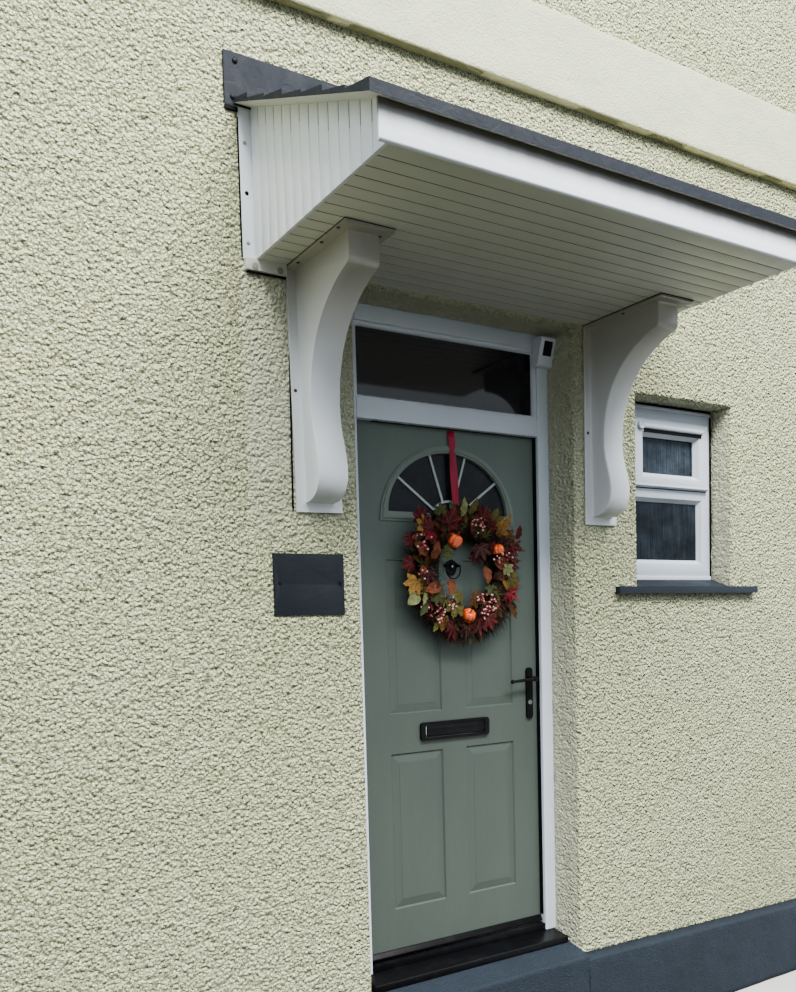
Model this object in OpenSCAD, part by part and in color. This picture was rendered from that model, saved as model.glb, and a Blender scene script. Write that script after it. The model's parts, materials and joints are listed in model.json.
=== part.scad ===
/* Entrance porch: a flat-fronted bracketed canopy over a panelled door,
   set in the roughcast wall that carries it. Millimetres.
   X runs to the right seen from outside, Y runs into the house, Z is up.
   The origin is on the ground at the middle of the doorway, in the wall's outer face. */

/* [Wall] */
// Thickness of the masonry wall
wall_t = 300; // [200:10:400]
// Left end of the wall from the door's centre line
wall_left_x = 1700; // [1250:10:2400]
// Right end of the wall from the door's centre line
wall_right_x = 1880; // [1700:10:2400]
// Height of the wall that goes on above the string band
wall_over = 544; // [0:1:900]
// Underside of the smooth string band over the ground
band_z = 3517; // [3300:1:3800]
// Height of the string band
band_h = 299; // [150:1:400]
// How far the string band stands out
band_out = 40; // [15:1:80]
// How far the painted plinth stands out
plinth_out = 50; // [25:1:90]
// Height of the plinth's back edge beside the door
plinth_h = 344; // [250:1:380]
// How much lower the plinth's top is at its front edge
plinth_weather = 36; // [10:1:60]
// Fall of the plinth's top over its run on the right
plinth_fall = 30; // [0:1:60]

/* [Doorway] */
// Half width of the doorway between its reveals at the frame
doorway_half = 452; // [440:1:520]
// How far the left reveal splays open at the wall's face
splay_left = 33; // [0:1:60]
// How far the right reveal splays open at the wall's face
splay_right = 9; // [0:1:60]
// Height of the lintel's underside over the ground
doorway_z = 2730; // [2700:1:2740]
// Depth of the door frame's face behind the wall's face
frame_y = 128; // [60:1:150]
// Front-to-back depth of the frame profile
frame_d = 72; // [60:1:90]
// Height of the frame's foot over the ground
frame_z = 410; // [380:1:450]
// Width of frame that shows beside the leaf
frame_face = 52; // [40:1:60]
// Height of the transom rail between door and fanlight
transom_h = 69; // [50:1:90]
// Underside of the transom rail over the ground
transom_z = 2345; // [2300:1:2380]
// Height of the frame head rail
head_h = 50; // [35:1:70]
// Lap of the frame's nib over the edge of the leaf
nib_lap = 12; // [8:1:18]

/* [Cill and step] */
// How far the black cill stands out from the frame
cill_out = 84; // [50:1:110]
// Height of the cill's nose
cill_nose = 24; // [15:1:40]
// How far the cill's ends stop short of the reveals
cill_short = 14; // [0:1:30]
// Fall of the cill's top from frame to nose
cill_fall = 9; // [3:1:15]
// Height of the ribbed threshold over the cill
threshold_h = 26; // [15:1:30]
// How far the painted step's nose is below the cill's foot
step_fall = 30; // [5:1:60]

/* [Door leaf] */
// Thickness of the leaf
leaf_t = 44; // [40:1:54]
// Depth of the leaf's face behind the frame's face
leaf_set = 36; // [34:1:44]
// Gap under and beside the leaf
leaf_gap = 5; // [5:0.5:8]
// Width of each of the four panels
panel_w = 227; // [180:1:240]
// Distance of each panel from the leaf's centre line
panel_x = 53; // [40:1:80]
// Underside of the lower panels over the ground
panel_low_z = 610; // [580:1:680]
// Height of the lower panels
panel_low_h = 565; // [400:1:580]
// Underside of the upper panels over the ground
panel_up_z = 1318; // [1310:1:1360]
// Height of the upper panels
panel_up_h = 552; // [400:1:560]
// Depth of the moulding round each panel
panel_deep = 6; // [3:0.5:10]
// Width of the steep outer side of the moulding
panel_edge = 5; // [3:0.5:10]
// Width of the long bevel up to the raised field
panel_bevel = 27; // [14:1:40]

/* [Fan window in the leaf] */
// Half width of the fan window's moulded surround
arch_half = 300; // [240:1:320]
// Height of the fan window's surround
arch_h = 280; // [200:1:290]
// Underside of the surround over the ground
arch_z = 2005; // [1960:1:2015]
// Width of the surround
arch_rim = 34; // [26:1:50]
// Width of each step in the surround's moulding
arch_bead = 9; // [5:1:12]
// How far the surround stands off the leaf
arch_proud = 9; // [4:1:14]
// Number of rays of the sunburst
ray_n = 4; // [3:1:7]
// Width of a ray
ray_w = 8; // [4:1:14]
// Radius of the sunburst's hub
hub_r = 84; // [50:1:110]

/* [Letter plate] */
// Length of the letter plate
plate_l = 310; // [260:1:330]
// Height of the letter plate
plate_h = 67; // [60:1:80]
// Centre of the letter plate over the ground
plate_z = 1246; // [1235:1:1250]
// Length of the slot
slot_l = 258; // [220:1:270]
// Height of the slot
slot_h = 40; // [30:1:44]
// Thickness of the plate's frame
plate_t = 11; // [8:1:16]
// Thickness of the flap
flap_t = 5; // [3:0.5:8]

/* [Handle] */
// Distance of the handle's centre from the leaf's edge
handle_in = 53; // [45:1:70]
// Width of the back plate
back_w = 30; // [26:1:44]
// Height of the back plate
back_h = 201; // [180:1:260]
// Centre of the back plate over the ground
back_z = 1357; // [1330:1:1380]
// Thickness of the back plate
back_t = 9; // [6:1:14]
// Height of the lever's spindle over the ground
lever_z = 1414; // [1400:1:1430]
// Distance from spindle to lock cylinder
lock_drop = 92; // [70:1:92]
// Length of the lever
lever_l = 118; // [90:1:140]
// Diameter of the lever's boss
boss_d = 20; // [16:1:24]
// Side of the square spindle
spindle_s = 8; // [7:1:10]

/* [Knocker] */
// Centre of the knocker's shield over the ground
knock_z = 1847; // [1835:1:1860]
// Width of the knocker's shield
knock_w = 70; // [62:1:78]
// Height of the shield's point over its centre
knock_top = 26; // [20:1:32]
// Drop of the shield's foot below its centre
knock_foot = 34; // [28:1:40]
// Thickness of the shield's rim
knock_t = 5; // [3:0.5:7]
// Diameter of the spy-hole in the shield
spy_d = 14; // [10:1:18]
// Length of the knocker's loop from its pivot
loop_l = 50; // [44:1:58]
// Width of the knocker's loop
loop_w = 67; // [64:1:72]
// Thickness of the knocker's loop
loop_d = 5; // [4:0.5:6]

/* [Canopy] */
// Length of the canopy's box past the doorway's left side
canopy_left_past = 360; // [300:1:450]
// Length of the canopy's box past the doorway's right side
canopy_right_past = 278; // [250:1:350]
// Projection of the canopy's box to the fascia's face
canopy_out = 771; // [600:1:850]
// Underside of the soffit over the ground
soffit_z = 2743; // [2742:1:2800]
// Thickness of the soffit, end and fascia boards
board_t = 10; // [6:1:16]
// Radius of the fascia's lower edge
fascia_round = 7; // [2:1:9]
// Height of the fascia's face
fascia_h = 96; // [80:1:140]
// How far the fascia runs past each end panel
fascia_over = 20; // [5:1:30]
// Slope of the roof in degrees
roof_slope = 24.4; // [18:0.1:30]
// Thickness of the roof's edge
roof_edge = 33; // [24:1:45]
// Thickness of the roof's moulded skin
roof_skin = 6; // [4:1:9]
// Thickness of the roof's verge in the valleys between courses
roof_bed = 12; // [10:1:20]
// How far the roof runs past the fascia
eave_over = 20; // [10:1:40]
// How far the roof runs past each end panel
verge_over = 55; // [30:1:70]
// Number of slate courses moulded into the roof
course_n = 7; // [4:1:10]
// Step at the butt of each thick course
course_step = 15; // [6:1:20]
// Step at the butt of each thin course between two thick ones
course_thin = 8; // [4:1:12]
// Height of the upstand against the wall
upstand_h = 154; // [80:1:180]
// Thickness of the upstand
upstand_t = 12; // [6:1:16]
// How far the upstand runs past the roof
upstand_over = 27; // [0:1:40]
// Pitch of the grooves in the soffit and the end panels
groove_pitch = 54; // [40:1:90]
// Width of a groove
groove_w = 4; // [2:0.5:8]
// Depth of a groove
groove_d = 2; // [1:0.5:4]
// Width of the flange that holds each end panel to the wall
flange_w = 40; // [25:1:50]
// Thickness of that flange
flange_t = 4; // [2:0.5:8]
// Height of the packing strip under the soffit at the wall
packer_h = 34; // [20:1:60]
// Thickness of the packing strip
packer_t = 20; // [8:1:30]

/* [Brackets] */
// Left bracket's middle from the doorway's left side
bracket_left_past = 181; // [150:1:230]
// Right bracket's middle from the doorway's right side
bracket_right_past = 141; // [128:1:180]
// Width of a bracket's plates
bracket_plate_w = 160; // [120:1:180]
// Width of a bracket's body
bracket_w = 100; // [70:1:110]
// Height of a bracket's wall plate
bracket_h = 745; // [700:1:800]
// Lean of the left bracket out of plumb, in degrees
bracket_lean = 0.8; // [0:0.1:1.2]
// Projection of a bracket's top plate
bracket_out = 388; // [360:1:450]
// Thickness of a bracket's plates
bracket_t = 12; // [8:1:18]
// Projection of the bracket's nose
nose_out = 348; // [300:1:355]
// Height of the bracket's nose
nose_h = 74; // [50:1:100]
// Radius that rounds the nose
nose_round = 25; // [8:1:40]
// Least projection, at the hollow
hollow_out = 78; // [60:1:100]
// Drop of the hollow below the soffit
hollow_drop = 440; // [400:1:480]
// Projection of the belly near the foot
belly_out = 112; // [90:1:130]
// Drop of the belly below the soffit
belly_drop = 632; // [590:1:660]
// Drop of the body's foot below the soffit
foot_drop = 716; // [690:1:730]

/* [Window] */
// Width of wall between the doorway and the window opening
win_gap = 334; // [300:1:370]
// Width of the window opening
win_w = 574; // [520:1:640]
// Underside of the window opening over the ground
win_z0 = 1744; // [1700:1:1800]
// Head of the window opening over the ground
win_z1 = 2528; // [2450:1:2600]
// Depth of the window frame's face behind the wall's face
win_y = 95; // [60:1:140]
// Depth of the window frame
win_d = 62; // [50:1:75]
// Width of the black joint beside the window frame
joint_w = 19; // [8:1:25]
// Height of the black joint over the window frame
joint_head = 28; // [8:1:40]
// Rise of the sill from the opening's underside to the window's foot
sill_rise = 52; // [30:1:70]
// Face width of the window frame
win_face = 68; // [50:1:80]
// Height of the strip under the window frame
strip_h = 18; // [10:1:30]
// Height of the opening light over the ground, at its foot
vent_z = 2179; // [2100:1:2220]
// Reveal of frame that shows round the opening light
vent_lap = 24; // [10:1:40]
// Width of the opening light's hinge-side stile
vent_left = 106; // [60:1:120]
// Width of the opening light's other stile
vent_right = 74; // [60:1:90]
// Width of the opening light's foot rail
vent_foot = 61; // [50:1:80]
// Width of the opening light's head rail
vent_head = 72; // [60:1:90]
// How far the opening light stands proud of the frame
vent_proud = 14; // [6:1:25]
// Height of the vent hood on the head rail
hood_h = 15; // [8:1:25]
// How far the vent hood stands out
hood_out = 13; // [6:1:25]
// Length of the sill past the opening's left side
sill_left = 120; // [60:1:150]
// Length of the sill past the opening's right side
sill_right = 138; // [60:1:150]
// How far the sill stands out from the wall
sill_out = 32; // [20:1:70]
// Thickness of the sill's edge
sill_t = 28; // [14:1:40]
// Height of the sill's edge over the opening's underside
sill_edge = 20; // [8:1:30]

/* [Fittings] */
// Width of the blank slate plate
slate_w = 246; // [150:1:320]
// Height of the blank slate plate
slate_h = 193; // [120:1:240]
// Thickness of the slate plate
slate_t = 8; // [6:1:14]
// Middle of the slate plate from the doorway's left side
slate_past = 214; // [190:1:250]
// Centre of the slate plate over the ground
slate_z = 1772; // [1600:1:1850]
// Width of the door camera
cam_w = 72; // [50:1:80]
// Height of the door camera
cam_h = 106; // [80:1:120]
// Depth of the door camera at its top
cam_top = 60; // [40:1:90]
// Depth of the door camera at its foot
cam_foot = 32; // [20:1:60]
// Outer radius of the wreath's body
wreath_r = 250; // [200:1:270]
// Radius of the hole in the wreath's body
wreath_hole = 96; // [80:1:120]
// Depth of the wreath's body
wreath_d = 84; // [60:1:110]
// Centre of the wreath over the ground
wreath_z = 1821; // [1815:1:1830]
// Wreath's centre right of the leaf's centre line
wreath_x = 30; // [0:1:40]
// Width of the ribbon
ribbon_w = 32; // [20:1:50]

/* [Hidden] */
$fn = 48;
eps = 0.5;

wall_paint = "#DCDEBE";
white = "#EDEFF0";
sage = "#69766E";
black = "#17181A";
slate = "#3D4752";
plinth_blue = "#4C5A6B";

wall_l = wall_left_x + wall_right_x;
wall_h = band_z + band_h + wall_over;
sight = doorway_half - frame_face;
leaf_half = sight + nib_lap;
leaf_y = frame_y + leaf_set;
leaf_back = leaf_y + leaf_t;
leaf_z0 = frame_z + threshold_h + 10;
leaf_z1 = transom_z + nib_lap;
nib_back = leaf_y - leaf_gap;
head_z = doorway_z - 7 - head_h;
hinge_x = -(leaf_half + 12);
hinge_y = leaf_back + 11;
hinge_end = 170;
knuckle_d = 15;
knuckle_h = 40;
knuckle_gap = 0.5;
pin_d = 8;
pin_fit = 0.4;
hinge_t = 4;
hinge_z = [leaf_z0 + hinge_end, (leaf_z0 + leaf_z1) / 2 - knuckle_h,
    leaf_z1 - hinge_end - 2 * knuckle_h];
handle_x = leaf_half - handle_in;
lever_out = 48;
lock_d = 17;
flap_gap = 5;
wreath_seat = 0.6;
loop_z = 2;
loop_y = 16;
loop_pin = 4;
loop_fit = 0.6;
lug_w = 5;
lug_h = 9;
upstand_lap = 30;
glass_t = 24;
canopy_left = doorway_half + canopy_left_past;
canopy_right = doorway_half + canopy_right_past;
bracket_left_x = doorway_half + bracket_left_past;
bracket_right_x = doorway_half + bracket_right_past;
win_x0 = doorway_half + win_gap;
win_x1 = win_x0 + win_w;
slate_x = doorway_half + slate_past;
canopy_w = canopy_left + canopy_right;
canopy_x = (canopy_right - canopy_left) / 2;
roof_l = canopy_w + 2 * verge_over;
roof_y0 = -(canopy_out + eave_over);
rise = tan(roof_slope);
roof_z0 = soffit_z + fascia_h - eave_over * rise;
fall_y = [canopy_out - board_t, canopy_out];
frame_top = win_z1 - joint_head;
vent_z1 = frame_top - 40;
frame_x0 = win_x0 + joint_w;
foot_z = win_z0 + sill_rise;
frame_x1 = win_x1 - joint_w;

function bez(a, b, c, d, t) = pow(1 - t, 3) * a + 3 * pow(1 - t, 2) * t * b
    + 3 * (1 - t) * t * t * c + pow(t, 3) * d;
function curve(a, b, c, d, n) = [for (i = [1 : n]) bez(a, b, c, d, i / n)];

// a slab of the wall between two x stations, from its plan outline
module wall_block(outline, z0, z1) {
    color(wall_paint)
    translate([0, 0, z0])
    linear_extrude(z1 - z0)
    polygon(outline);
}

module wall_left() {
    wall_block([[-wall_left_x, 0], [-doorway_half - splay_left, 0],
        [-doorway_half, frame_y], [-doorway_half, wall_t], [-wall_left_x, wall_t]], 0, wall_h);
}

module wall_right() {
    color(wall_paint)
    difference() {
        wall_block([[doorway_half + splay_right, 0], [wall_right_x, 0],
            [wall_right_x, wall_t], [doorway_half, wall_t], [doorway_half, frame_y]], 0, wall_h);
        translate([win_x0, -eps, win_z0])
        cube([win_x1 - win_x0, win_y + win_d + eps, win_z1 - win_z0]);
        translate([win_x0, win_y, foot_z])
        cube([win_x1 - win_x0, wall_t, win_z1 - foot_z]);
    }
}

module wall_over_door() {
    wall_block([[-doorway_half - splay_left, 0], [doorway_half + splay_right, 0],
        [doorway_half, frame_y], [doorway_half, wall_t], [-doorway_half, wall_t],
        [-doorway_half, frame_y]], doorway_z, wall_h);
}

module string_course() {
    color(wall_paint)
    translate([-wall_left_x, -band_out, band_z])
    cube([wall_l, band_out, band_h]);
}

// weathered plinth: its top slopes to the front and falls by drop over the run
module plinth_run(run, drop) {
    intersection() {
        translate([0, -plinth_out, 0])
        cube([run, plinth_out, plinth_h]);
        rotate([0, atan(drop / run), 0])
        rotate([90, 0, 90])
        translate([0, 0, -drop])
        linear_extrude(run + 3 * drop + 1)
        polygon([[0, -2 * drop - 1], [-plinth_out, -2 * drop - 1],
            [-plinth_out, plinth_h - plinth_weather],
            [-plinth_out + 6, plinth_h - plinth_weather + 6], [0, plinth_h]]);
    }
}

module plinth_left() {
    color(plinth_blue)
    translate([-wall_left_x, 0, 0])
    plinth_run(wall_left_x - doorway_half - splay_left, 0);
}

module plinth_right() {
    color(plinth_blue)
    translate([doorway_half + splay_right, 0, 0])
    plinth_run(wall_right_x - doorway_half - splay_right, plinth_fall);
}

module door_step() {
    foot = frame_z - cill_fall - cill_nose;
    left = doorway_half + splay_left;
    right = doorway_half + splay_right;
    r = 16;
    color(plinth_blue)
    intersection() {
        rotate([90, 0, 90])
        translate([0, 0, -left])
        linear_extrude(left + right)
        polygon(concat([[wall_t, 0], [-plinth_out, 0]],
            [for (a = [180 : -15 : 90]) [-plinth_out + r + r * cos(a),
                foot - step_fall - r + r * sin(a)]],
            [[frame_y - cill_out + 12, foot], [wall_t, foot]]));
        linear_extrude(foot)
        polygon([[-left, -plinth_out], [right, -plinth_out], [right, 0],
            [doorway_half, frame_y], [doorway_half, wall_t], [-doorway_half, wall_t],
            [-doorway_half, frame_y], [-left, 0]]);
    }
}

// upright frame post, its nib lapping the leaf's face; side is -1 or 1
module frame_jamb(side) {
    color(white)
    translate([0, 0, frame_z])
    linear_extrude(doorway_z - 7 - frame_z)
    mirror([side < 0 ? 1 : 0, 0])
    polygon([[sight, frame_y + 3], [sight + 3, frame_y], [doorway_half, frame_y],
        [doorway_half, frame_y + frame_d], [leaf_half + leaf_gap, frame_y + frame_d],
        [leaf_half + leaf_gap, nib_back], [sight, nib_back]]);
}

module frame_head() {
    color(white)
    translate([-sight, frame_y, head_z])
    cube([2 * sight, frame_d, head_h]);
    color(wall_paint)
    translate([-doorway_half, frame_y, doorway_z - 7])
    cube([2 * doorway_half, frame_d, 7]);
}

module frame_transom() {
    color(white)
    rotate([90, 0, 90])
    translate([0, 0, -sight])
    linear_extrude(2 * sight)
    polygon([[frame_y, transom_z + 3], [frame_y + 3, transom_z], [nib_back, transom_z],
        [nib_back, leaf_z1 + leaf_gap], [frame_y + frame_d, leaf_z1 + leaf_gap],
        [frame_y + frame_d, transom_z + transom_h], [frame_y, transom_z + transom_h]]);
}

module threshold() {
    color(black)
    difference() {
        translate([-sight, frame_y + 6, frame_z])
        cube([2 * sight, frame_d - 6, threshold_h]);
        for (i = [0 : 3])
            translate([-sight - eps, frame_y + 14 + i * 12, frame_z + threshold_h - 3])
            cube([2 * sight + 2 * eps, 5, 3 + eps]);
    }
}

module door_cill() {
    color(black)
    rotate([90, 0, 90])
    translate([0, 0, -doorway_half + cill_short])
    linear_extrude(2 * (doorway_half - cill_short))
    polygon([[frame_y + frame_d, frame_z], [frame_y, frame_z],
        [frame_y - cill_out + 3, frame_z - cill_fall],
        [frame_y - cill_out, frame_z - cill_fall - 3],
        [frame_y - cill_out, frame_z - cill_fall - cill_nose],
        [frame_y + frame_d, frame_z - cill_fall - cill_nose]]);
}

module fanlight_glass() {
    z0 = transom_z + transom_h;
    color("#2B3438")
    translate([-sight, frame_y + 24, z0])
    cube([2 * sight, glass_t, head_z - z0]);
}

module fanlight_bead() {
    z0 = transom_z + transom_h;
    color(white)
    difference() {
        translate([-sight, frame_y + 8, z0])
        cube([2 * sight, 16, head_z - z0]);
        translate([-sight + 14, frame_y + 8 - eps, z0 + 14])
        cube([2 * sight - 28, 16 + 2 * eps, head_z - z0 - 28]);
    }
}

// block that narrows with depth: w by h at y = 0, less by edge on every side at y = deep
module tapered(w, h, edge, deep) {
    intersection() {
        translate([0, 0, -h / 2])
        linear_extrude(h)
        polygon([[-w / 2, 0], [w / 2, 0], [w / 2 - edge, deep], [-w / 2 + edge, deep]]);
        translate([-w / 2, 0, 0])
        rotate([90, 0, 90])
        linear_extrude(w)
        polygon([[0, -h / 2], [deep, -h / 2 + edge], [deep, h / 2 - edge], [0, h / 2]]);
    }
}

// sunk moulding of a raised and fielded panel: a steep outer side, then a long bevel
// that climbs back to the field
module panel_ring(w, h) {
    inner = 2 * panel_edge;
    difference() {
        translate([0, -eps, 0])
        tapered(w, h, panel_edge, panel_deep + eps);
        translate([0, panel_deep, 0])
        mirror([0, 1, 0])
        tapered(w - inner, h - inner, panel_bevel, panel_deep - 0.8);
        translate([0, 0.8, 0])
        mirror([0, 1, 0])
        tapered(w - inner - 2 * panel_bevel - 3, h - inner - 2 * panel_bevel - 3, 1, 3);
    }
}

module panels() {
    for (s = [-1, 1])
        for (p = [[panel_low_z, panel_low_h], [panel_up_z, panel_up_h]])
            translate([s * (panel_x + panel_w / 2), 0, p[0] + p[1] / 2])
            panel_ring(panel_w, p[1]);
}

// half-oval outline of the fan window, inset from the surround's edge
module arch_outline(inset) {
    translate([0, inset])
    polygon([for (i = [0 : 36]) [(arch_half - inset) * cos(i * 5),
        (arch_h - 1.8 * inset) * sin(i * 5)]]);
}

module arch_solid(inset, y0, t) {
    translate([0, y0 + t, arch_z])
    rotate([90, 0, 0])
    linear_extrude(t)
    arch_outline(inset);
}

module door_leaf() {
    color(sage)
    difference() {
        translate([-leaf_half, leaf_y, leaf_z0])
        cube([2 * leaf_half, leaf_t, leaf_z1 - leaf_z0]);
        translate([0, leaf_y, 0])
        panels();
        translate([0, leaf_back, 0])
        mirror([0, 1, 0])
        panels();
        arch_solid(arch_rim - 4, leaf_y - 1, leaf_t + 2);
        translate([-slot_l / 2, leaf_y - 1, plate_z - slot_h / 2])
        cube([slot_l, leaf_t + 2, slot_h]);
        translate([handle_x, leaf_y - 1, lever_z])
        rotate([-90, 0, 0])
        cylinder(d = boss_d - 2, h = leaf_t + 2);
        translate([handle_x, leaf_y - 1, lever_z - lock_drop])
        rotate([-90, 0, 0])
        cylinder(d = lock_d, h = leaf_t + 2);
    }
}

// stepped ring round the fan window, standing off the plane y = 0 towards -y
module arch_ring() {
    for (p = [[0, 0.55], [arch_bead, 1], [arch_rim - arch_bead, 0.6]])
        difference() {
            arch_solid(p[0], -arch_proud * p[1], arch_proud * p[1]);
            arch_solid(arch_rim, -arch_proud - 1, arch_proud + 2);
            if (p[0] == arch_bead)
                arch_solid(arch_rim - arch_bead, -arch_proud - 1, arch_proud * 0.4 + 1);
        }
}

module arch_surround() {
    color(sage) {
        translate([0, leaf_y, 0])
        arch_ring();
        translate([0, leaf_back, 0])
        mirror([0, 1, 0])
        arch_ring();
        difference() {
            arch_solid(arch_rim - 4, leaf_y - eps, leaf_t + 2 * eps);
            arch_solid(arch_rim, leaf_y - 1, leaf_t + 2);
        }
    }
}

module arch_glass() {
    color("#3A4448")
    arch_solid(arch_rim, leaf_y + (leaf_t - glass_t) / 2, glass_t);
}

// rays from the middle of the surround's foot, and the ring of the hub, on the glass
module sunburst_bars() {
    t = 5;
    y0 = leaf_y + (leaf_t - glass_t) / 2 - t;
    color("#9AA59C")
    intersection() {
        translate([0, y0, arch_z])
        union() {
            for (i = [1 : ray_n])
                rotate([0, -i * 180 / (ray_n + 1), 0])
                translate([hub_r - ray_w / 2, 0, -ray_w / 2])
                cube([arch_half, t, ray_w]);
            rotate([-90, 0, 0])
            difference() {
                cylinder(r = hub_r, h = t);
                translate([0, 0, -eps])
                cylinder(r = hub_r - ray_w, h = t + 2 * eps);
            }
        }
        arch_solid(arch_rim, y0, t);
    }
}

module weather_bar() {
    color(black)
    rotate([90, 0, 90])
    translate([0, 0, -sight + 8])
    linear_extrude(2 * sight - 16)
    polygon([[leaf_y, leaf_z0], [leaf_y - 22, leaf_z0 + 2], [leaf_y - 22, leaf_z0 + 7],
        [leaf_y - 6, leaf_z0 + 20], [leaf_y, leaf_z0 + 20]]);
}

module rounded_plate(w, h, r, t) {
    rotate([90, 0, 0])
    linear_extrude(t)
    union() {
        square([w - 2 * r, h], center = true);
        square([w, h - 2 * r], center = true);
        for (x = [-1, 1], z = [-1, 1])
            translate([x * (w / 2 - r), z * (h / 2 - r)])
            circle(r);
    }
}

module letter_plate() {
    color(black) {
        difference() {
            translate([0, leaf_y, plate_z])
            rounded_plate(plate_l, plate_h, 12, plate_t);
            translate([-slot_l / 2 - 11, leaf_y - flap_gap - flap_t / 2, plate_z + slot_h / 2 + 1])
            rotate([0, 90, 0])
            cylinder(d = flap_t + 0.6, h = slot_l + 22);
            translate([-slot_l / 2 - 5, leaf_y - plate_t - 1, plate_z - slot_h / 2 - 2])
            cube([slot_l + 10, plate_t + 2, slot_h + 8]);
        }
        difference() {
            translate([0, leaf_back + 8, plate_z])
            rounded_plate(plate_l, plate_h, 12, 8);
            translate([-slot_l / 2, leaf_back - 1, plate_z - slot_h / 2])
            cube([slot_l, 10, slot_h]);
        }
    }
}

// bowed flap on its pivot rod
module letter_flap() {
    bow = 5;
    color(black)
    translate([0, leaf_y - flap_gap, 0]) {
        rotate([90, 0, 90])
        translate([0, 0, -slot_l / 2])
        linear_extrude(slot_l)
        polygon(concat([[0, plate_z + slot_h / 2 + 1], [0, plate_z - slot_h / 2 + 1]],
            [for (i = [0 : 10]) [-2.5 - bow * sin(i * 18),
                plate_z - slot_h / 2 + 1 + slot_h * i / 10]]));
        translate([-slot_l / 2 - 10, -flap_t / 2, plate_z + slot_h / 2 + 1])
        rotate([0, 90, 0])
        cylinder(d = flap_t, h = slot_l + 20);
    }
}

module back_plate() {
    difference() {
        rounded_plate(back_w, back_h, back_w / 2 - 0.5, back_t);
        translate([0, -back_t - 1, lever_z - back_z])
        rotate([-90, 0, 0])
        cylinder(d = boss_d + 1, h = back_t + 2);
        translate([0, -back_t - 1, lever_z - lock_drop - back_z])
        rotate([-90, 0, 0])
        cylinder(d = lock_d + pin_fit, h = back_t + 2);
    }
}

module handle_plates() {
    color(black) {
        translate([handle_x, leaf_y, back_z])
        back_plate();
        translate([handle_x, leaf_back, back_z])
        mirror([0, 1, 0])
        back_plate();
    }
}

// one lever on its boss, drooping a little and thinning to a round knob end
module lever_half() {
    rotate([90, 0, 0])
    cylinder(d = boss_d, h = lever_out);
    translate([0, -lever_out + 8, 0])
    rotate([0, -93, 0])
    cylinder(d1 = 15, d2 = 10, h = lever_l - 8);
    translate([-lever_l + 6, -lever_out + 8, -(lever_l - 8) * sin(3)])
    sphere(d = 17);
}

module door_lever() {
    color(black)
    translate([handle_x, 0, lever_z]) {
        translate([0, leaf_y - back_t + 6, 0])
        lever_half();
        translate([0, leaf_back + back_t - 6, 0])
        mirror([0, 1, 0])
        lever_half();
        translate([-spindle_s / 2, leaf_y - back_t, -spindle_s / 2])
        cube([spindle_s, leaf_t + 2 * back_t, spindle_s]);
    }
}

module lock_cylinder() {
    color("#C4C6C8")
    translate([handle_x, leaf_y - back_t - 2, lever_z - lock_drop])
    rotate([-90, 0, 0])
    difference() {
        cylinder(d = lock_d, h = leaf_t + 2 * back_t + 4);
        translate([-1, -5, -1])
        cube([2, 10, 9]);
    }
}

// shield outline: a point at the top, two side tips and a rounded foot, each side two cubic curves
function shield_side() = let (
    tip = [knock_w / 2, loop_z + 1],
    waist = [0.62 * knock_w / 2, -0.3 * knock_foot])
    concat(curve([0, knock_top], [0.2 * knock_w, 0.8 * knock_top], [0.36 * knock_w, 0.5 * knock_top], tip, 8),
    curve(tip, [0.8 * tip[0], 0], [0.68 * tip[0], -0.1 * knock_foot], waist, 6),
    curve(waist, [0.55 * tip[0], -0.75 * knock_foot], [0.3 * tip[0], -knock_foot], [0, -knock_foot], 8));

module knocker_plate() {
    side = shield_side();
    n = len(side);
    lug_x = loop_w / 2 - loop_d - 1 - lug_w;
    color(black)
    translate([0, leaf_y, knock_z])
    rotate([90, 0, 0])
    difference() {
        union() {
            linear_extrude(knock_t)
            polygon(concat([[0, knock_top]], side, [for (i = [2 : n]) [-side[n - i][0], side[n - i][1]]]));
            cylinder(d1 = 2 * spy_d + 8, d2 = spy_d + 6, h = knock_t + 4);
            cylinder(d = spy_d, h = knock_t + 6);
            for (s = [-1, 1])
                translate([s * (lug_x + lug_w / 2) - lug_w / 2, loop_z - lug_h / 2, 0])
                cube([lug_w, lug_h, loop_y + lug_h / 2]);
        }
        translate([-knock_w / 2, loop_z, loop_y])
        rotate([0, 90, 0])
        cylinder(d = loop_pin + loop_fit, h = knock_w);
    }
}

module knocker_loop() {
    r = loop_w / 2 - loop_d / 2;
    leg = loop_l - loop_w / 2;
    pin_l = loop_d / 2 + 1 + lug_w;
    color(black)
    translate([0, leaf_y - loop_y, knock_z + loop_z]) {
        for (s = [-1, 1]) {
            translate([s * r, 0, -leg])
            cylinder(d = loop_d, h = leg + loop_d / 2);
            translate([s * (r - pin_l / 2) - pin_l / 2, 0, 0])
            rotate([0, 90, 0])
            cylinder(d = loop_pin, h = pin_l);
        }
        translate([0, 0, -leg])
        rotate([90, 0, 0])
        rotate([0, 0, 180])
        rotate_extrude(angle = 180)
        translate([r, 0])
        circle(d = loop_d);
    }
}

module hinge_frame_side() {
    face = frame_y + frame_d - hinge_y;
    color("#DADCDC")
    for (z = hinge_z)
        translate([hinge_x, hinge_y, z]) {
            cylinder(d = knuckle_d, h = knuckle_h);
            cylinder(d = pin_d, h = 2 * knuckle_h - hinge_t);
            translate([-doorway_half - hinge_x + 4, face, 0])
            cube([doorway_half + hinge_x - 4, hinge_t, knuckle_h]);
            translate([-knuckle_d / 2, face, 0])
            cube([knuckle_d / 2, -face, knuckle_h]);
        }
}

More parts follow.
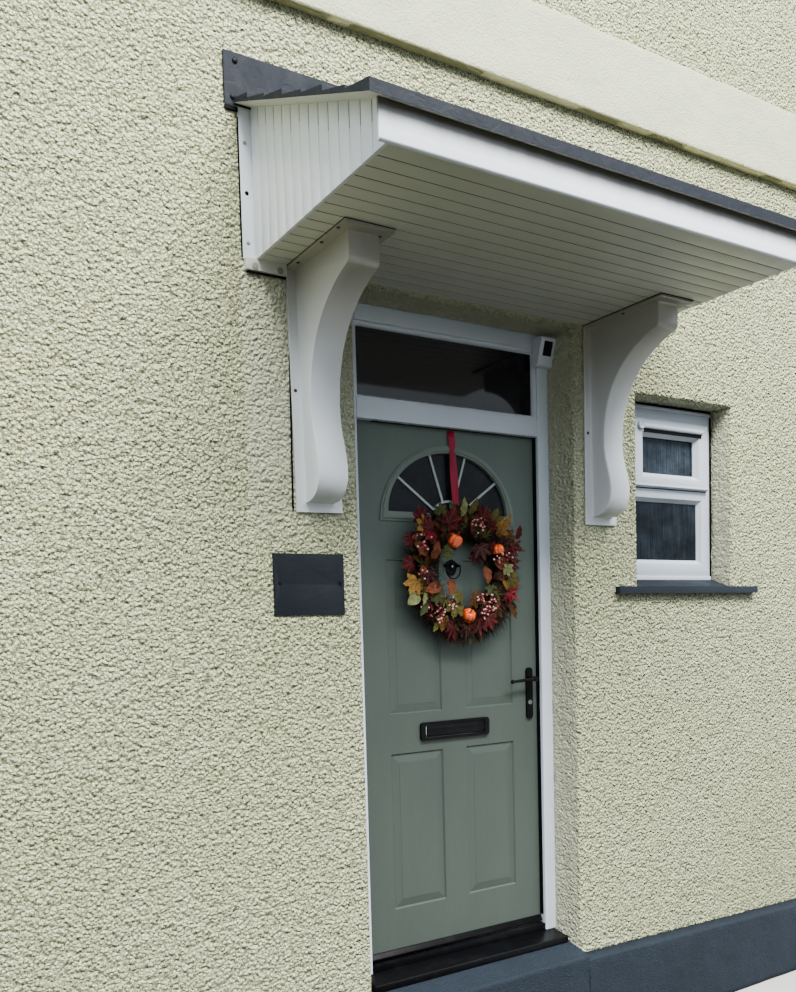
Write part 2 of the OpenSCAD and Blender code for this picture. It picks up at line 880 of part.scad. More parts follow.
module hinge_leaf_side() {
    face = leaf_back - hinge_y;
    color("#DADCDC")
    for (z = hinge_z)
        translate([hinge_x, hinge_y, z + knuckle_h + knuckle_gap])
        difference() {
            union() {
                cylinder(d = knuckle_d, h = knuckle_h);
                translate([0, face, 0])
                cube([knuckle_h * 1.5, hinge_t, knuckle_h]);
                translate([0, face, 0])
                cube([knuckle_d / 2, -face, knuckle_h]);
            }
            translate([0, 0, -1])
            cylinder(d = pin_d + pin_fit, h = knuckle_h + 2);
        }
}

// stepped slate profile in (y, z) over the verge's underside, from the eave up to the wall:
// a full edge at the eave, then thin and thick courses by turns
function course_points(n, run) = [for (i = [0 : n - 1])
    let (butt = i == 0 ? roof_edge : roof_bed + (i % 2 == 0 ? course_step : course_thin))
    each [[i * run / n, i * run / n * rise + butt],
        [(i + 1) * run / n, (i + 1) * run / n * rise + roof_bed]]];

// one moulding: slate courses on a solid edge, hollow over the box, with the wall upstand
module canopy_roof() {
    run = -roof_y0;
    in_y = eave_over + board_t;
    color(slate) {
        translate([canopy_x, roof_y0, roof_z0])
        rotate([90, 0, 90])
        translate([0, 0, -roof_l / 2])
        difference() {
            linear_extrude(roof_l)
            polygon(concat([[run, run * rise], [0, 0]], course_points(course_n, run)));
            translate([0, 0, verge_over + board_t])
            linear_extrude(canopy_w - 2 * board_t)
            polygon([[in_y, in_y * rise - 1], [in_y, in_y * rise + roof_bed - roof_skin],
                [run - upstand_t, (run - upstand_t) * rise + roof_bed - roof_skin],
                [run - upstand_t, (run - upstand_t) * rise - 1]]);
        }
        translate([canopy_x - roof_l / 2 - upstand_over, -upstand_t, roof_z0 + (run - upstand_lap) * rise])
        cube([roof_l + 2 * upstand_over, upstand_t, upstand_h]);
    }
}

module canopy_fascia() {
    color(white)
    translate([canopy_x - canopy_w / 2 - fascia_over, -canopy_out, soffit_z])
    rotate([90, 0, 90])
    linear_extrude(canopy_w + 2 * fascia_over)
    polygon(concat([for (a = [0 : 15 : 90]) fascia_round * [1 - sin(90 - a), 1 - cos(90 - a)]],
        [[board_t, 0], [board_t, fascia_h + board_t * rise], [0, fascia_h]]));
}

module wall_packer(x0, x1) {
    translate([x0, -packer_t, soffit_z - packer_h])
    cube([x1 - x0, packer_t, packer_h]);
}

module canopy_soffit() {
    half = bracket_plate_w / 2 + 2;
    color(white) {
        difference() {
            translate([-canopy_left + board_t, -canopy_out + board_t, soffit_z])
            cube([canopy_w - 2 * board_t, canopy_out - board_t, board_t]);
            for (i = [1 : floor((canopy_out - board_t - packer_t - groove_w) / groove_pitch)])
                translate([-canopy_left, -canopy_out + board_t + i * groove_pitch - groove_w / 2,
                    soffit_z - eps])
                cube([canopy_w, groove_w, groove_d + eps]);
        }
        wall_packer(-canopy_left - flange_w + 5, -bracket_left_x - half);
        wall_packer(bracket_right_x + half, canopy_right + flange_w - 5);
    }
}

// end panel from the fascia to the wall, grooved on its outer face, with its wall flange
module canopy_end() {
    run = canopy_out - board_t;
    top0 = fascia_h + board_t * rise;
    wall_top = top0 + (run - upstand_lap) * rise;
    difference() {
        rotate([90, 0, 90])
        linear_extrude(board_t)
        polygon([[-run, 0], [0, 0], [0, wall_top], [-upstand_t, wall_top],
            [-upstand_t, top0 + (run - upstand_t) * rise], [-run, top0]]);
        for (i = [1 : floor(run / groove_pitch)])
            translate([-eps, -canopy_out + board_t + i * groove_pitch - groove_w / 2, -eps])
            cube([groove_d + eps, groove_w, 2 * run]);
    }
    translate([-flange_w, -flange_t, 0])
    cube([flange_w + eps, flange_t, wall_top]);
}

module canopy_end_left() {
    color(white)
    translate([-canopy_left, 0, soffit_z])
    canopy_end();
}

module canopy_end_right() {
    color(white)
    translate([canopy_right, 0, soffit_z])
    mirror([1, 0, 0])
    canopy_end();
}

// side outline of a bracket's body as projection and drop below the soffit: a square nose,
// a cove that tightens to the hollow, a belly and a rounded foot, each a cubic curve
function bracket_side() = let (
    span = nose_out - hollow_out,
    deep = hollow_drop - nose_h,
    lean = belly_drop - hollow_drop,
    tail = foot_drop - belly_drop,
    lip = [nose_out - nose_round, nose_h + nose_round])
    concat([[nose_out, nose_h]],
    curve([nose_out, nose_h], [nose_out, nose_h + 0.65 * nose_round],
        [nose_out - 0.35 * nose_round, nose_h + 0.85 * nose_round], lip, 5),
    curve(lip, [hollow_out + 0.45 * span, nose_h + 0.18 * deep],
        [hollow_out, nose_h + 0.43 * deep], [hollow_out, hollow_drop], 18),
    curve([hollow_out, hollow_drop], [hollow_out, hollow_drop + 0.39 * lean],
        [belly_out, hollow_drop + 0.62 * lean], [belly_out, belly_drop], 10),
    curve([belly_out, belly_drop], [belly_out, belly_drop + 0.62 * tail],
        [0.64 * belly_out, foot_drop], [bracket_t, foot_drop], 10),
    [[0, foot_drop]]);

// a bracket whose body and wall plate turn out of plumb under a level top plate
module bracket(lean) {
    lift = 4;
    color(white) {
        intersection() {
            rotate([0, -lean, 0]) {
                translate([-bracket_w / 2, 0, 0])
                rotate([90, 0, 90])
                linear_extrude(bracket_w)
                polygon(concat([[0, lift], [-nose_out, lift]], [for (p = bracket_side()) [-p[0], -p[1]]]));
                translate([-bracket_plate_w / 2, -bracket_t, -bracket_h])
                cube([bracket_plate_w, bracket_t, bracket_h + lift]);
            }
            translate([-bracket_plate_w, -bracket_out, -2 * bracket_h])
            cube([2 * bracket_plate_w, bracket_out, 2 * bracket_h]);
        }
        translate([-bracket_plate_w / 2, -bracket_out, -bracket_t])
        cube([bracket_plate_w, bracket_out, bracket_t]);
    }
}

module bracket_left() {
    translate([-bracket_left_x, 0, soffit_z])
    bracket(bracket_lean);
}

module bracket_right() {
    translate([bracket_right_x, 0, soffit_z])
    bracket(0);
}

// rectangular frame between two corners, its four face widths as left, right, foot, head
module ring(x0, x1, z0, z1, face, y0, d) {
    difference() {
        translate([x0, y0, z0])
        cube([x1 - x0, d, z1 - z0]);
        translate([x0 + face[0], y0 - 1, z0 + face[2]])
        cube([x1 - x0 - face[0] - face[1], d + 2, z1 - z0 - face[2] - face[3]]);
    }
}

module window_frame() {
    color(white) {
        ring(frame_x0, frame_x1, foot_z + strip_h, frame_top,
            [win_face, win_face, win_face, win_face], win_y, win_d);
        translate([frame_x0 + win_face, win_y, vent_z - win_face + 12])
        cube([frame_x1 - frame_x0 - 2 * win_face, win_d, win_face]);
        translate([frame_x0, win_y - 8, foot_z])
        cube([frame_x1 - frame_x0, win_d + 8, strip_h]);
    }
}

module window_vent() {
    x0 = frame_x0 + vent_lap;
    x1 = frame_x1 - vent_lap;
    hood_z = vent_z1 - vent_head / 2 + hood_h / 2;
    color(white) {
        ring(x0, x1, vent_z, vent_z1, [vent_left, vent_right, vent_foot, vent_head],
            win_y - vent_proud, vent_proud);
        translate([x0 + vent_left, win_y - vent_proud - hood_out, hood_z])
        cube([x1 - x0 - vent_left - vent_right / 2, hood_out, hood_h]);
    }
}

module window_glass() {
    pane_w = frame_x1 - frame_x0 - 2 * win_face;
    low_z = foot_z + strip_h + win_face;
    mid_z = vent_z - win_face + 12;
    color("#2E373C") {
        translate([frame_x0 + win_face, win_y + 18, low_z])
        cube([pane_w, glass_t, mid_z - low_z]);
        translate([frame_x0 + win_face, win_y + 18, mid_z + win_face])
        cube([pane_w, glass_t, frame_top - 2 * win_face - mid_z]);
    }
}

module window_joint() {
    color(black)
    difference() {
        translate([win_x0, win_y + 4, foot_z])
        cube([win_x1 - win_x0, win_d - 4, win_z1 - foot_z]);
        translate([frame_x0, win_y, foot_z - 1])
        cube([frame_x1 - frame_x0, win_d + 1, frame_top - foot_z + 1]);
    }
}

module window_sill() {
    color(slate) {
        translate([win_x0 - sill_left, -sill_out, win_z0 + sill_edge - sill_t])
        cube([win_x1 - win_x0 + sill_left + sill_right, sill_out, sill_t]);
        rotate([90, 0, 90])
        translate([0, 0, win_x0])
        linear_extrude(win_x1 - win_x0)
        polygon([[-1, win_z0], [-1, win_z0 + sill_edge], [win_y - 8, foot_z], [win_y + win_d, foot_z],
            [win_y + win_d, win_z0]]);
    }
}

module slate_plate() {
    color(slate)
    translate([-slate_x, 0, slate_z])
    difference() {
        translate([-slate_w / 2, -slate_t, -slate_h / 2])
        cube([slate_w, slate_t, slate_h]);
        for (s = [-1, 1])
            translate([s * (slate_w / 2 - 18), -slate_t - 1, 0])
            rotate([-90, 0, 0])
            cylinder(d = 5, h = slate_t + 2);
    }
}

module door_camera() {
    color(white)
    translate([doorway_half - cam_w - 4, frame_y, doorway_z - 20 - cam_h])
    rotate([90, 0, 90])
    linear_extrude(cam_w)
    polygon([[0, 0], [-cam_foot + 6, 0], [-cam_foot, 5], [-cam_top, cam_h - 6],
        [-cam_top + 6, cam_h], [0, cam_h]]);
}

module wreath_body() {
    mid = (wreath_r + wreath_hole) / 2;
    half = (wreath_r - wreath_hole) / 2;
    color("#8A4B24")
    translate([wreath_x, leaf_y - arch_proud - wreath_d / 2 + wreath_seat, wreath_z])
    rotate([90, 0, 0])
    rotate_extrude()
    polygon([for (a = [0 : 15 : 345]) [mid + half * cos(a), wreath_d / 2 * sin(a)]]);
}

module wreath_ribbon() {
    top = leaf_z1 - 16;
    foot = wreath_z + wreath_r - 20;
    color("#8E1526")
    translate([wreath_x / 2, leaf_y, 0])
    rotate([90, 0, 90])
    translate([0, 0, -ribbon_w / 2])
    linear_extrude(ribbon_w)
    polygon([[0, top], [-2, top], [-arch_proud - 3, top - 60], [-arch_proud - 3, foot],
        [-arch_proud - 1, foot], [-arch_proud - 1, top - 60]]);
}

wall_left();
wall_right();
wall_over_door();
string_course();
plinth_left();
plinth_right();
door_step();
frame_jamb(-1);  // frame_jamb_left
frame_jamb(1);  // frame_jamb_right
frame_head();
frame_transom();
threshold();
door_cill();
fanlight_glass();
fanlight_bead();
door_leaf();
arch_surround();
arch_glass();
sunburst_bars();
weather_bar();
letter_plate();
letter_flap();
handle_plates();
door_lever();
lock_cylinder();
knocker_plate();
knocker_loop();
hinge_frame_side();
hinge_leaf_side();
canopy_roof();
canopy_fascia();
canopy_soffit();
canopy_end_left();
canopy_end_right();
bracket_left();
bracket_right();
window_frame();
window_vent();
window_glass();
window_joint();
window_sill();
slate_plate();
door_camera();
wreath_body();
wreath_ribbon();
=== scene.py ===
import json
import math

import bmesh
import bpy
import numpy as np
from mathutils import Matrix, Vector

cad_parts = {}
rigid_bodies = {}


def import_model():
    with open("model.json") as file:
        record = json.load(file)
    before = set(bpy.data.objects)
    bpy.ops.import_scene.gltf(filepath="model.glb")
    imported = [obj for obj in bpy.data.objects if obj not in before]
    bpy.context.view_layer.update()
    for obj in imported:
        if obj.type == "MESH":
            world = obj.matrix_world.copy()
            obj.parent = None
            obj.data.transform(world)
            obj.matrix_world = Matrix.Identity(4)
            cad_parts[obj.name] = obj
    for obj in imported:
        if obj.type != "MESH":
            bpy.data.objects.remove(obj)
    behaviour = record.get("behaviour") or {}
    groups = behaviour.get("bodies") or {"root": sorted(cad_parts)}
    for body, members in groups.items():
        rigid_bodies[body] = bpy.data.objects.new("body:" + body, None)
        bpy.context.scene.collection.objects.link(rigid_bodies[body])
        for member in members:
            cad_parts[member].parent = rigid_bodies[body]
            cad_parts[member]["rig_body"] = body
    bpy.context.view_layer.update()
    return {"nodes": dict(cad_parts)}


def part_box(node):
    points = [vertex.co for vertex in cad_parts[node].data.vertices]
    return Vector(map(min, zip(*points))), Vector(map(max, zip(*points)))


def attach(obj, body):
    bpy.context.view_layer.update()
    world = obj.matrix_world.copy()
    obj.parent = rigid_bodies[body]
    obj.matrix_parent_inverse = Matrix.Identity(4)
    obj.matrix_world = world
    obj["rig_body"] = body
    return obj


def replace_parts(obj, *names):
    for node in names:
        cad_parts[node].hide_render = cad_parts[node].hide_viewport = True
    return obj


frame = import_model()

NODES = frame["nodes"]


# Camera
PHOTO_W, PHOTO_H = 796.0, 992.0
FOCAL, AXIS_X, AXIS_Y = 910.73, 391.65, 682.49  # in the photo's pixels
SENSOR = 36.0
EYE = (-1.9572, -2.6029, 1.6342)


def place_camera():
    """The photo's viewpoint: 1.63 m over the ground, left of the door, looking right."""
    data = bpy.data.cameras.new("porch_view")
    cam = bpy.data.objects.new("porch_view", data)
    bpy.context.scene.collection.objects.link(cam)
    right = Vector((0.85246, -0.52207, -0.02745))
    up = Vector((0.05571, 0.03851, 0.99770))
    back = -Vector((0.51981, 0.85204, -0.06192))
    turn = Matrix((right, up, back)).transposed()
    cam.matrix_world = Matrix.Translation(EYE) @ turn.to_4x4()
    data.sensor_width = SENSOR
    data.lens = FOCAL * SENSOR / PHOTO_H
    data.shift_x = (PHOTO_W / 2 - AXIS_X) / PHOTO_H
    data.shift_y = (AXIS_Y - PHOTO_H / 2) / PHOTO_H
    data.clip_start, data.clip_end = 0.05, 60.0
    bpy.context.scene.camera = cam


place_camera()


# Numbers
def rng(seed):
    """A fixed stream of random numbers."""
    return np.random.default_rng(seed)


def spread(ix, iy, seed):
    """A repeatable number from 0 to 1 for each whole-number cell (ix, iy)."""
    n = np.sin(ix * 127.1 + iy * 311.7 + seed * 74.7) * 43758.5453
    return n - np.floor(n)


def soft_noise(u, v, size, seed):
    """Value noise from -1 to 1: corner values of a square lattice of the given size, joined by
    smoothstep."""
    x, y = u / size, v / size
    ix, iy = np.floor(x), np.floor(y)
    fx, fy = x - ix, y - iy
    fx, fy = fx * fx * (3 - 2 * fx), fy * fy * (3 - 2 * fy)
    low = spread(ix, iy, seed) * (1 - fx) + spread(ix + 1, iy, seed) * fx
    high = spread(ix, iy + 1, seed) * (1 - fx) + spread(ix + 1, iy + 1, seed) * fx
    return 2 * (low * (1 - fy) + high * fy) - 1


def layered(u, v, size, seed, layers=4, keep=0.5):
    """Sum of soft noises, each half the size and keep times the height of the last."""
    total, height = 0.0, 1.0
    for k in range(layers):
        total = total + height * soft_noise(u, v, size / 2**k, seed + 17 * k)
        height *= keep
    return total


def domes(u, v, size, seed):
    """Round lumps: one jittered centre a cell, height 1 - (distance / reach) squared, the tallest of nine
    wins."""
    x, y = u / size, v / size
    ix, iy = np.floor(x), np.floor(y)
    best = np.zeros_like(x)
    for dx in (-1, 0, 1):
        for dy in (-1, 0, 1):
            cx, cy = ix + dx, iy + dy
            px = cx + 0.15 + 0.7 * spread(cx, cy, seed)
            py = cy + 0.15 + 0.7 * spread(cx, cy, seed + 5)
            tall = 0.45 + 0.55 * spread(cx, cy, seed + 9)
            reach = 0.55 + 0.35 * spread(cx, cy, seed + 13)
            d2 = ((x - px) ** 2 + (y - py) ** 2) / reach**2
            best = np.maximum(best, tall * (1 - d2))
    return best


# Meshes
def lattice(nu, nv, wrap_u=False, wrap_v=False, flip=False, keep=None):
    """Quads of an nu by nv grid of points, stored row by row."""
    i = np.arange(nu if wrap_u else nu - 1)
    j = np.arange(nv if wrap_v else nv - 1)
    a, b = np.meshgrid(i, j, indexing="ij")
    if keep is not None:
        a, b = a[keep], b[keep]
    a, b = a.ravel(), b.ravel()
    a1, b1 = (a + 1) % nu, (b + 1) % nv
    quads = np.stack([a * nv + b, a1 * nv + b, a1 * nv + b1, a * nv + b1], 1)
    return quads[:, ::-1] if flip else quads


def gather(*patches):
    """Several (points, quads) patches as one."""
    points, quads, base = [], [], 0
    for p, q in patches:
        p = np.asarray(p, float).reshape(-1, 3)
        points.append(p)
        quads.append(np.asarray(q) + base)
        base += len(p)
    return np.concatenate(points), np.concatenate(quads)


def joined(*patches):
    """Several patches as one, where points that fall together become one point."""
    points, quads = gather(*patches)
    _, first, back = np.unique(np.round(points, 5), axis=0, return_index=True, return_inverse=True)
    return points[first], back.ravel()[quads]


def make_piece(name, points, quads, finish, body="house", smooth=True, uv=None, tint=None, crease=None):
    """A mesh piece at the origin that rides on a body. uv is one (u, v) for each point, tint one colour
    each; crease is the angle in degrees past which an edge stays sharp."""
    points = np.asarray(points, float).reshape(-1, 3)
    quads = np.asarray(quads)
    used = np.unique(quads)
    remap = np.zeros(len(points), int)
    remap[used] = np.arange(len(used))
    points, quads = points[used], remap[quads]
    mesh = bpy.data.meshes.new(name)
    sides = quads.shape[1]
    mesh.vertices.add(len(points))
    mesh.vertices.foreach_set("co", points.astype(np.float32).ravel())
    mesh.loops.add(quads.size)
    mesh.loops.foreach_set("vertex_index", quads.astype(np.int32).ravel())
    mesh.polygons.add(len(quads))
    mesh.polygons.foreach_set("loop_start", np.arange(0, quads.size, sides, dtype=np.int32))
    mesh.polygons.foreach_set("use_smooth", np.full(len(quads), smooth))
    if uv is not None:
        layer = mesh.uv_layers.new(name="UVMap")
        layer.data.foreach_set("uv", np.asarray(uv, float)[used][quads.ravel()].astype(np.float32).ravel())
    if tint is not None:
        shade = mesh.attributes.new("tint", "FLOAT_COLOR", "POINT")
        rgba = np.concatenate([np.asarray(tint, float)[used], np.ones((len(used), 1))], 1)
        shade.data.foreach_set("color", rgba.astype(np.float32).ravel())
    mesh.update(calc_edges=True)
    mesh.validate()
    if crease is not None:
        mesh.set_sharp_from_angle(angle=math.radians(crease))
    mesh.materials.append(finish)
    piece = bpy.data.objects.new(name, mesh)
    bpy.context.scene.collection.objects.link(piece)
    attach(piece, body)
    return piece


def mitred(x0, x1, z0, z1, widths, profile, footed=True):
    """A frame with mitred corners: each profile point (edge, inset, y) lies that far in from the outer edge
    ("o") or out from the inner one ("i"), side by side for left, right, foot and head widths. Without a
    foot the stiles butt on whatever lies at z0."""
    left, right, foot, head = widths
    inset = np.array([[d if k == "o" else w - d for k, d, _ in profile] for w in (left, right, foot, head)])
    if not footed:
        inset[2] = 0.0
    y = np.array([q[2] for q in profile])
    xl, xr, zf, zh = x0 + inset[0], x1 - inset[1], z0 + inset[2], z1 - inset[3]
    corners = np.stack([np.stack([xl, y, zf], 1), np.stack([xr, y, zf], 1), np.stack([xr, y, zh], 1),
                        np.stack([xl, y, zh], 1)])
    n = len(profile)
    patches = []
    for k in range(0 if footed else 1, 4):
        pair = np.stack([corners[k], corners[(k + 1) % 4]])
        patches.append((pair.reshape(-1, 3), lattice(2, n, wrap_v=True)))
    return gather(*patches)


def unit(v):
    """Vectors brought to length one."""
    return v / np.linalg.norm(v, axis=-1, keepdims=True)


def circle(n):
    """n points round a unit circle, from +u towards +v."""
    a = np.arange(n) / n * 2 * math.pi
    return np.stack([np.cos(a), np.sin(a)], 1)


def along(path, outline):
    """A closed tube: the outline (n, 2) carried along the path (m, 3), turned so that it stays square to
    the path, with a fan to the path's own point at each end."""
    path, outline = np.asarray(path, float), np.asarray(outline, float)
    t = unit(np.gradient(path, axis=0))
    ref = np.array([0.0, 0.0, 1.0]) if abs(t[0, 2]) < 0.9 else np.array([1.0, 0.0, 0.0])
    side = unit(np.cross(t, ref))
    up = np.cross(side, t)
    p = path[:, None, :] + side[:, None, :] * outline[None, :, :1] + up[:, None, :] * outline[None, :, 1:]
    n = len(outline)
    end = len(path) * n
    k = np.arange(n)
    after = (k + 1) % n
    cap0 = np.stack([np.full(n, end), after, k, k], 1)
    cap1 = np.stack([np.full(n, end + 1), k + end - n, after + end - n, after + end - n], 1)
    points = np.concatenate([p.reshape(-1, 3), path[:1], path[-1:]])
    return points, np.concatenate([lattice(len(path), n, wrap_v=True, flip=True), cap0, cap1])


def ball(centre, radii, nu=12, nv=8):
    """An ellipsoid: longitude round Z, latitude from pole to pole."""
    a = np.arange(nu) * 2 * math.pi / nu
    b = (np.arange(nv + 1) / nv - 0.5) * math.pi
    A, B = np.meshgrid(a, b, indexing="ij")
    p = np.stack([np.cos(A) * np.cos(B), np.sin(A) * np.cos(B), np.sin(B)], 2) * np.asarray(radii)
    return p.reshape(-1, 3) + np.asarray(centre), lattice(nu, nv + 1, wrap_u=True)


def lathe(profile, centre, axis="y", n=20, out=1.0):
    """A turned form: profile points (radius, height) swung round an axis through the centre; out is its
    sense."""
    r, h = np.asarray(profile, float).T
    a = (np.arange(n) * 2 * math.pi / n)[:, None]
    c, s, h = np.cos(a) * r, np.sin(a) * r, np.broadcast_to(out * h, (n, len(r)))
    p = np.stack({"x": (h, c, s), "y": (c, -h, s), "z": (c, s, h)}[axis], 2)
    return p.reshape(-1, 3) + np.asarray(centre), lattice(n, len(r), wrap_u=True, flip=out < 0)


def block(lo, hi, r=0.0, n=1):
    """A box with rounded edges: each point of a cube's six gridded sides is pushed to r from an inner
    box."""
    lo, hi = np.asarray(lo, float), np.asarray(hi, float)
    half, mid = (hi - lo) / 2, (hi + lo) / 2
    inner = np.maximum(half - r, 0)
    swing = np.cos(np.linspace(0, math.pi / 2, n + 1)) * r
    steps = [np.unique(np.concatenate([-swing - (h - r), swing + (h - r)])) for h in half]
    patches = []
    for axis in range(3):
        u, v = [k for k in range(3) if k != axis]
        U, V = np.meshgrid(steps[u], steps[v], indexing="ij")
        for s in (-1, 1):
            p = np.zeros(U.shape + (3,))
            p[..., u], p[..., v], p[..., axis] = U, V, s * half[axis]
            core = np.clip(p, -inner, inner)
            d = p - core
            length = np.linalg.norm(d, axis=2, keepdims=True)
            p = core + np.where(length > 1e-9, d / np.maximum(length, 1e-9) * r, 0)
            turn = (s > 0) == (axis == 1)
            patches.append((p.reshape(-1, 3) + mid, lattice(len(steps[u]), len(steps[v]), flip=turn)))
    return gather(*patches)


def welded(name, node_name, finishes, width, sort=None):
    """A CAD node's own form with its loose triangles joined and its arrises rounded to the given width.
    sort gives each face the number of its finish from the face's normal, and such faces stay flat."""
    source = NODES[node_name]
    mesh = bpy.data.meshes.new(name)
    bm = bmesh.new()
    bm.from_mesh(source.data)
    bmesh.ops.remove_doubles(bm, verts=bm.verts, dist=1e-5)
    bmesh.ops.dissolve_limit(bm, angle_limit=math.radians(1.0), verts=bm.verts, edges=bm.edges)
    for face in bm.faces:
        face.smooth = sort is None
        face.material_index = sort(face.normal) if sort else 0
    bm.to_mesh(mesh)
    bm.free()
    for finish in finishes:
        mesh.materials.append(finish)
    piece = bpy.data.objects.new(name, mesh)
    bpy.context.scene.collection.objects.link(piece)
    bevel = piece.modifiers.new("soft_arris", "BEVEL")
    bevel.width, bevel.segments = width, 2
    bevel.limit_method, bevel.angle_limit = "ANGLE", math.radians(30.0)
    if sort is None:
        bevel.harden_normals = True
        bevel.miter_outer = "MITER_ARC"
    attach(piece, source["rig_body"])
    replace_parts(piece, node_name)


# Finishes
def tone(r, g, b):
    """A colour given as it looks on a screen, 0 to 255, turned into the light it stands for."""
    c = np.array([r, g, b]) / 255.0
    return tuple(np.where(c <= 0.04045, c / 12.92, ((c + 0.055) / 1.055) ** 2.4)) + (1.0,)


def light_of(colour):
    """A number as grey, a screen tone (r, g, b) as light, and light (r, g, b, a) as it is."""
    if isinstance(colour, (int, float)):
        return (colour, colour, colour, 1)
    return tone(*colour) if len(colour) == 3 else colour


def fill_ramp(node, stops):
    """Stops (place, colour) on a colour ramp."""
    line = node.color_ramp
    while len(line.elements) < len(stops):
        line.elements.new(0.5)
    for element, (at, colour) in zip(line.elements, stops):
        element.position, element.color = at, light_of(colour)


SOCKETS = {"rough": "Roughness", "metal": "Metallic", "spec": "Specular IOR Level", "coat": "Coat Weight",
           "coat_rough": "Coat Roughness"}


class Finish:
    """A node-based finish on the piece's own Object coordinates. A texture is (scale, detail, rough, where,
    warp), of which the last ones may be left out."""

    def __init__(self, name):
        self.mat = bpy.data.materials.new(name)
        self.mat.use_nodes = True
        self.tree = self.mat.node_tree
        self.tree.nodes.clear()
        self.shader = self.node("BsdfPrincipled")
        self.feed(self.node("OutputMaterial").inputs[0], self.shader.outputs[0])
        self.where = self.node("TexCoord").outputs["Object"]

    def node(self, kind, **fixed):
        """A new node with fixed values on the named inputs."""
        node = self.tree.nodes.new("ShaderNode" + kind)
        for key, value in fixed.items():
            node.inputs[key.replace("_", " ")].default_value = value
        return node

    def feed(self, socket, value):
        """A socket's fixed value, or its link from another node."""
        if isinstance(value, bpy.types.NodeSocket):
            self.tree.links.new(value, socket)
        else:
            socket.default_value = value

    def set(self, **values):
        """Fixed numbers on the shader's own sockets."""
        for key, value in values.items():
            self.shader.inputs[SOCKETS[key]].default_value = value
        return self

    def stretched(self, x, y, z):
        """Object coordinates scaled along each axis."""
        node = self.node("Mapping", Scale=(x, y, z))
        self.feed(node.inputs[0], self.where)
        return node.outputs[0]

    def axis(self, k, of=None):
        """One coordinate of the place on the piece, or of another vector."""
        node = self.node("SeparateXYZ")
        self.feed(node.inputs[0], of or self.where)
        return node.outputs[k]

    def tint(self, output="Color"):
        """The piece's own tint."""
        node = self.node("Attribute")
        node.attribute_name = "tint"
        return node.outputs[output]

    def noise(self, scale, detail=3.0, rough=0.55, where=None, warp=0.0):
        """Fractal noise, 0 to 1."""
        node = self.node("TexNoise", Scale=scale, Detail=detail, Roughness=rough, Distortion=warp)
        self.feed(node.inputs["Vector"], where or self.where)
        return node.outputs["Fac"]

    def stones(self, scale):
        """1 at the middle of scattered stones, falling straight to the seams between them."""
        node = self.node("TexVoronoi", Scale=scale)
        self.feed(node.inputs["Vector"], self.where)
        return self.less(1.0, node.outputs["Distance"])

    def ramp(self, value, *stops):
        """Colours or grey levels at given places of a value."""
        node = self.node("ValToRGB")
        fill_ramp(node, stops)
        self.feed(node.inputs[0], value)
        return node.outputs[0]

    def maths(self, op, a, b):
        """One sum on two values."""
        node = self.node("Math")
        node.operation = op
        self.feed(node.inputs[0], a)
        self.feed(node.inputs[1], b)
        return node.outputs[0]

    def plus(self, a, b):
        return self.maths("ADD", a, b)

    def less(self, a, b):
        return self.maths("SUBTRACT", a, b)

    def times(self, a, b):
        return self.maths("MULTIPLY", a, b)

    def between(self, share, a, b, how="MIX"):
        """Mix of two colours by a share."""
        node = self.node("Mix")
        node.data_type, node.blend_type = "RGBA", how
        self.feed(node.inputs[0], share)
        for socket, x in ((node.inputs[6], a), (node.inputs[7], b)):
            self.feed(socket, light_of(x) if isinstance(x, tuple) else x)
        return node.outputs[2]

    def tinted(self, a, b):
        """Two colours multiplied."""
        return self.between(1.0, a, b, "MULTIPLY")

    def relief(self, height, depth):
        """A height in bump."""
        node = self.node("Bump", Strength=1.0, Distance=depth)
        self.feed(node.inputs["Height"], height)
        self.feed(self.shader.inputs["Normal"], node.outputs[0])
        return self

    def grain(self, depth, *texture):
        """One noise in bump."""
        return self.relief(self.noise(*texture), depth)

    def colour(self, value):
        self.feed(self.shader.inputs["Base Color"], value)
        return self

    def mottled(self, texture, low, high):
        """Colour from one tone to another over one noise; low and high are (place, tone)."""
        return self.colour(self.ramp(self.noise(*texture), low, high))

    def rough(self, value, low, high):
        """Roughness from one level to another, each (place, level)."""
        self.feed(self.shader.inputs["Roughness"], self.ramp(value, low, high))
        return self


def speckled(name, texture, low, high, depth, grain, **fixed):
    """Two tones over one noise, with a fine grain in bump."""
    return Finish(name).mottled(texture, low, high).grain(depth, *grain).set(**fixed).mat


def roughcast_finish(name, hollow, face, crest):
    """Roughcast: stones of two sizes under thick masonry paint, with a finer, broken pattern of pits painted
    dark and crests painted pale, which is painted shade and painted highlight. The piece's tint gives the
    share by which the pits take the pale crest tone: in the smoother reveals, and as painted light round the
    doorway's top."""
    f = Finish(name)

    def heap(stones, share, *bands):
        """Stones and noises (scale, weight) added up."""
        total = f.times(f.stones(stones), share)
        for scale, weight in bands:
            total = f.plus(total, f.times(f.noise(scale, 3, 0.6), weight))
        return total

    height = heap(85, 0.9, (48, 1.4), (130, 0.7), (300, 0.35))
    broken = heap(170, 0.8, (210, 1.0), (420, 0.8))
    height_most, broken_most, fine_share, fill_and_light_share = 3.35, 2.6, 0.74, 0.85
    f.relief(height, 0.05)
    level = f.plus(f.times(broken, fine_share / broken_most), f.times(height, (1 - fine_share) / height_most))
    # the pits are painted dark and the crests pale: painted shade and painted highlight
    coat = f.ramp(level, (0.42, hollow), (0.535, face), (0.64, crest))
    coat = f.between(f.times(f.tint("Fac"), fill_and_light_share), coat, crest)
    wash = f.ramp(f.noise(1.1, 4, 0.6), (0.3, (1, 1, 1, 1)), (0.72, (246, 246, 238)))
    return f.colour(f.tinted(coat, wash)).set(rough=0.85, spec=0.12).mat


